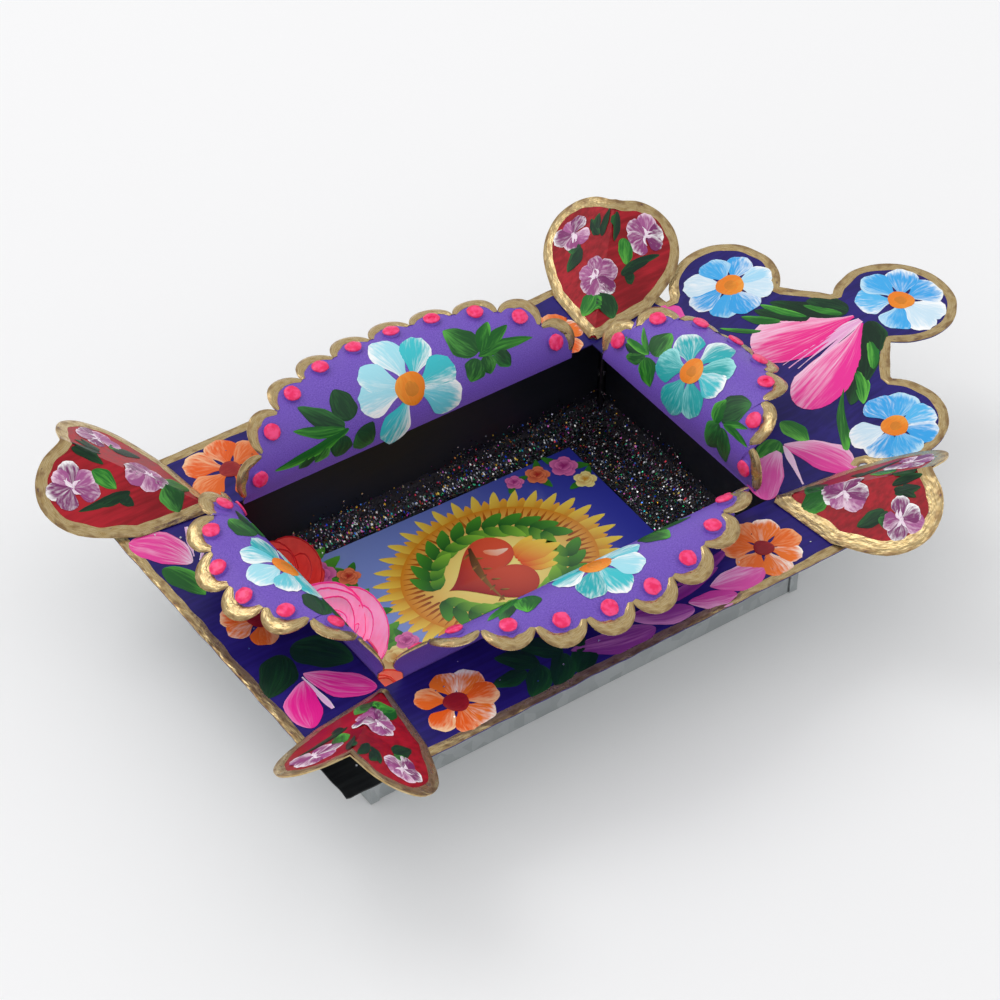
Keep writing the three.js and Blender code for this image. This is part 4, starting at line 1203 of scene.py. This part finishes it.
# The three roses: dyed paper, each petal cut round, cupped and rolled back at its rim, and
# gathered on a foot round a rolled heart. They are glued in along the bottom wall. The dye has
# run to the rims of the petals and is deepest there. The paper is also made to glow faintly,
# painted light that brightens the roses in the shade of the flaps.
def rose_paper(name, deep, light):
    material, tree, shader = new_finish(name, roughness=0.75)
    across, along = uv_shares(tree)
    grain = cloud(tree, uv_place(tree), 9.0, 3.0, (1.5, 0.5, 1))
    side = calculate(tree, "SUBTRACT", calculate(tree, "MULTIPLY", across, 2.0), 1.0)
    side = calculate(tree, "ABSOLUTE", side)
    border = calculate(tree, "MAXIMUM", along, calculate(tree, "MULTIPLY", side, 0.985))
    border = weighted_sum(tree, (border, 1), (grain, 0.02))
    dyed = mix_colours(tree, remap(tree, grain, 0.35, 0.75, 0.0, 0.22), tint(light), tint(deep))
    dyed = mix_colours(tree, remap(tree, border, 0.965, 0.99), dyed, tint(deep))
    colour_by(tree, shader, dyed)
    # A faint glow in the paper's own colour: painted light, not a lamp.
    tree.links.new(dyed, shader.inputs["Emission Color"])
    shader.inputs["Emission Strength"].default_value = 0.14
    shader.inputs["Subsurface Weight"].default_value = 0.35
    shader.inputs["Subsurface Scale"].default_value = 0.004
    relief(tree, shader, grain, 0.0003, 0.4)
    return material


PAPER = 0.22
FOOT_LEVEL = 1.4


def rose(name, x, y, radius, height, paper, rings, tilt):
    bm = bmesh.new()
    middle = Vector((x, y, FOOT_LEVEL))
    for count, first, spread, low, high, reach, roll in rings:
        for k in range(count):
            facing = first + 2 * math.pi * k / count + random.uniform(-0.15, 0.15)
            seed = random.random() * 20
            lean = random.uniform(0.94, 1.0)

            def on_petal(u, v):
                span = 2 * u - 1
                opening = 0.35 + 0.65 * math.sin(min(v * 1.3, 1.0) * math.pi / 2)
                angle = facing + span * spread / 2 * opening
                round_off = 1 - 0.42 * abs(span) ** 2.6
                climb = v * round_off
                opened = 0.2 + (reach * lean - 0.2) * math.sin(climb * math.pi / 2) ** 0.8
                ruffle = 0.03 * noise.noise(Vector((u * 3.2, v * 1.5, seed)))
                curl = max(climb - 0.72, 0) / 0.28
                r = radius * min(opened + roll * 0.08 * curl + ruffle, 1.0) - 0.5 * (1 - u)
                z = height * (low + (high - low) * climb ** 1.5 - roll * 0.22 * curl ** 2 + ruffle)
                z = min(z * (1 + tilt * (r / radius) * math.cos(angle - 2.7)), height)
                return middle + Vector((r * math.cos(angle), r * math.sin(angle), max(z, 0.2)))

            lay_grid(bm, 14, 12, on_petal)

    def on_heart(u, v):
        angle = u * 2.4 * 2 * math.pi
        r = radius * (0.04 + 0.2 * u) * (1 + 0.2 * v * v)
        z = height * (0.5 + (0.47 - 0.1 * u) * v)
        return middle + Vector((r * math.cos(angle), r * math.sin(angle), z))

    lay_grid(bm, 60, 6, on_heart)
    foot = bmesh.ops.create_cone(bm, cap_ends=True, segments=20, radius1=radius * 0.42,
                                 radius2=radius * 0.55, depth=height * 0.4)["verts"]
    bmesh.ops.translate(bm, verts=foot, vec=middle + Vector((0, 0, height * 0.2)))
    place_piece(name + "_petals", bm, [paper], [name], sharp=70, thickness=PAPER, back=0)


random.seed(17)
ROSE_RADIUS = 15.4
ROSE_HEIGHT = 22.0
INSIDE_SOLID = 0.97
FULL = [(5, 0.2, 2.2, 0.06, 0.8, 1.0, 0.4), (4, 0.9, 2.4, 0.2, 0.9, 0.72, 0.4),
        (3, 0.1, 2.7, 0.34, 0.97, 0.46, 0.3)]
SMALL = [(4, 0.4, 2.4, 0.06, 0.88, 1.0, 0.4), (3, 0.9, 2.7, 0.2, 0.95, 0.72, 0.4),
         (3, 0.2, 2.8, 0.34, 1.0, 0.44, 0.2)]
for name, across, up, wide, high, rings, tilt, deep, light, slot in (
        ("red_rose_left", -0.64, 1.14, 0.81, 0.73, SMALL, 0.16, "ae1822", "e6564f", "red_paper"),
        ("pink_rose", 0.035, 1.01, 1.0, 1.0, FULL, 0.24, "fa3c98", "ffc2e4", "pink_paper"),
        ("red_rose_right", 0.685, 0.82, 0.74, 0.91, SMALL, 0.0, "e04c3c", "ffa692", "coral_paper")):
    paper = rose_paper(name + "_paper", deep, light)
    rose(name, across * INSIDE_X, up * ROSE_RADIUS - INSIDE_Y, wide * ROSE_RADIUS * INSIDE_SOLID,
         high * ROSE_HEIGHT * INSIDE_SOLID, paper, rings, tilt)


# The hanger: a strip of tin wrapped round a wire ring to make an eye, its two ends soldered
# flat on the outside of the top wall near the back. The ring is bent from steel wire.
EYE_OUTER = 1.4
EYE_Y = BOX_LENGTH / 2 + SEAT + EYE_OUTER
EYE_Z = EYE_OUTER + CLEAR
STRAP_WIDTH = 8
STRAP_HEIGHT = 10
RING_HALF = 7
RING_REACH = 12
RING_CORNER = 2.5
WIRE_RADIUS = 0.68
bm = bmesh.new()
wrap = [bm.verts.new((-STRAP_WIDTH / 2, BOX_LENGTH / 2 + SEAT + TIN, EYE_Z + z))
        for z in (STRAP_HEIGHT, 1.1)]
for k in range(15):
    angle = math.radians(128 - 20.4 * k)
    wrap.append(bm.verts.new((-STRAP_WIDTH / 2, EYE_Y + EYE_OUTER * math.cos(angle),
                              EYE_Z + EYE_OUTER * math.sin(angle))))
strip = [bm.edges.new(pair) for pair in zip(wrap, wrap[1:])]
across_strip = verts_of(bmesh.ops.extrude_edge_only(bm, edges=strip))
bmesh.ops.translate(bm, verts=across_strip, vec=(STRAP_WIDTH, 0, 0))
strip_towards(bm, (0, 1, 0))
place_piece("hanger_strap_tin", bm, [galvanised], ["hanger_strap"], thickness=TIN,
            back=0)

wire_finish, tree, shader = new_finish("drawn_wire", metallic=1.0)
where = object_place(tree)
drawn = cloud(tree, where, 900.0, 3.0, (0.15, 1, 1))
colour_by(tree, shader, mix_colours(tree, drawn, tint("6c6f73"), tint("a4a7ab")),
          remap(tree, drawn, 0.3, 0.7, 0.28, 0.45))
relief(tree, shader, drawn, 0.0001, 0.5)
straight = RING_HALF - RING_CORNER
loop = [Vector((RING_HALF * math.cos(math.pi * k / 28),
                RING_CORNER + (RING_REACH - RING_CORNER) * math.sin(math.pi * k / 28)))
        for k in range(1, 28)]
bends = ([Vector((0.15, 0)), Vector((straight, 0))]
         + arc_points(straight, RING_CORNER, RING_CORNER, -90, 0, 8)[1:] + loop
         + arc_points(-straight, RING_CORNER, RING_CORNER, 180, 270, 8) + [Vector((-0.15, 0))])
wire = bpy.data.curves.new("hanger_ring_wire", "CURVE")
wire.dimensions = "3D"
wire.bevel_depth = WIRE_RADIUS
wire.bevel_resolution = 4
wire.use_fill_caps = True
line = wire.splines.new("POLY")
line.points.add(len(bends) - 1)
for point, spot in zip(line.points, bends):
    point.co = (spot.x, EYE_Y + spot.y, EYE_Z, 1)
former = bpy.data.objects.new("wire_former", wire)
bm = bmesh.new()
bm.from_mesh(former.to_mesh())
bpy.data.objects.remove(former)
place_piece("hanger_ring_wire", bm, [wire_finish], ["hanger_ring"], body="ring")


# The studio: a sheet of white paper under the frame, one wide soft light over its left side
# and an even white surround, dimmer in reflections.
paper_floor, tree, shader = new_finish("white_paper_floor", roughness=0.9)
where = object_place(tree)
colour_by(tree, shader, mix_colours(tree, cloud(tree, where, 2.0), tint("f2f2f3"), tint("f6f6f7")))
bm = bmesh.new()
bmesh.ops.create_grid(bm, x_segments=4, y_segments=4, size=3.0)
bmesh.ops.translate(bm, verts=bm.verts, vec=(0, 0, -0.0002))
mesh = bpy.data.meshes.new("paper_floor")
bm.to_mesh(mesh)
bm.free()
mesh.materials.append(paper_floor)
floor = bpy.data.objects.new("paper_floor", mesh)
bpy.context.scene.collection.objects.link(floor)

lamp = bpy.data.objects.new("soft_light", bpy.data.lights.new("soft_light", "AREA"))
lamp.data.size = 1.7
lamp.data.energy = 18.8
lamp.location = (-1.96, -0.86, 2.74)
lamp.rotation_euler = lamp.location.to_track_quat("Z", "Y").to_euler()
bpy.context.scene.collection.objects.link(lamp)
world = bpy.data.worlds.new("white_surround")
world.use_nodes = True
world.node_tree.nodes["Background"].inputs["Color"].default_value = (1, 1, 1, 1)
mirrored = world.node_tree.nodes.new("ShaderNodeLightPath").outputs["Is Glossy Ray"]
world.node_tree.links.new(remap(world.node_tree, mirrored, 0.0, 1.0, 0.92, 0.56),
                          world.node_tree.nodes["Background"].inputs["Strength"])
bpy.context.scene.world = world
bpy.context.scene.view_settings.view_transform = "Standard"
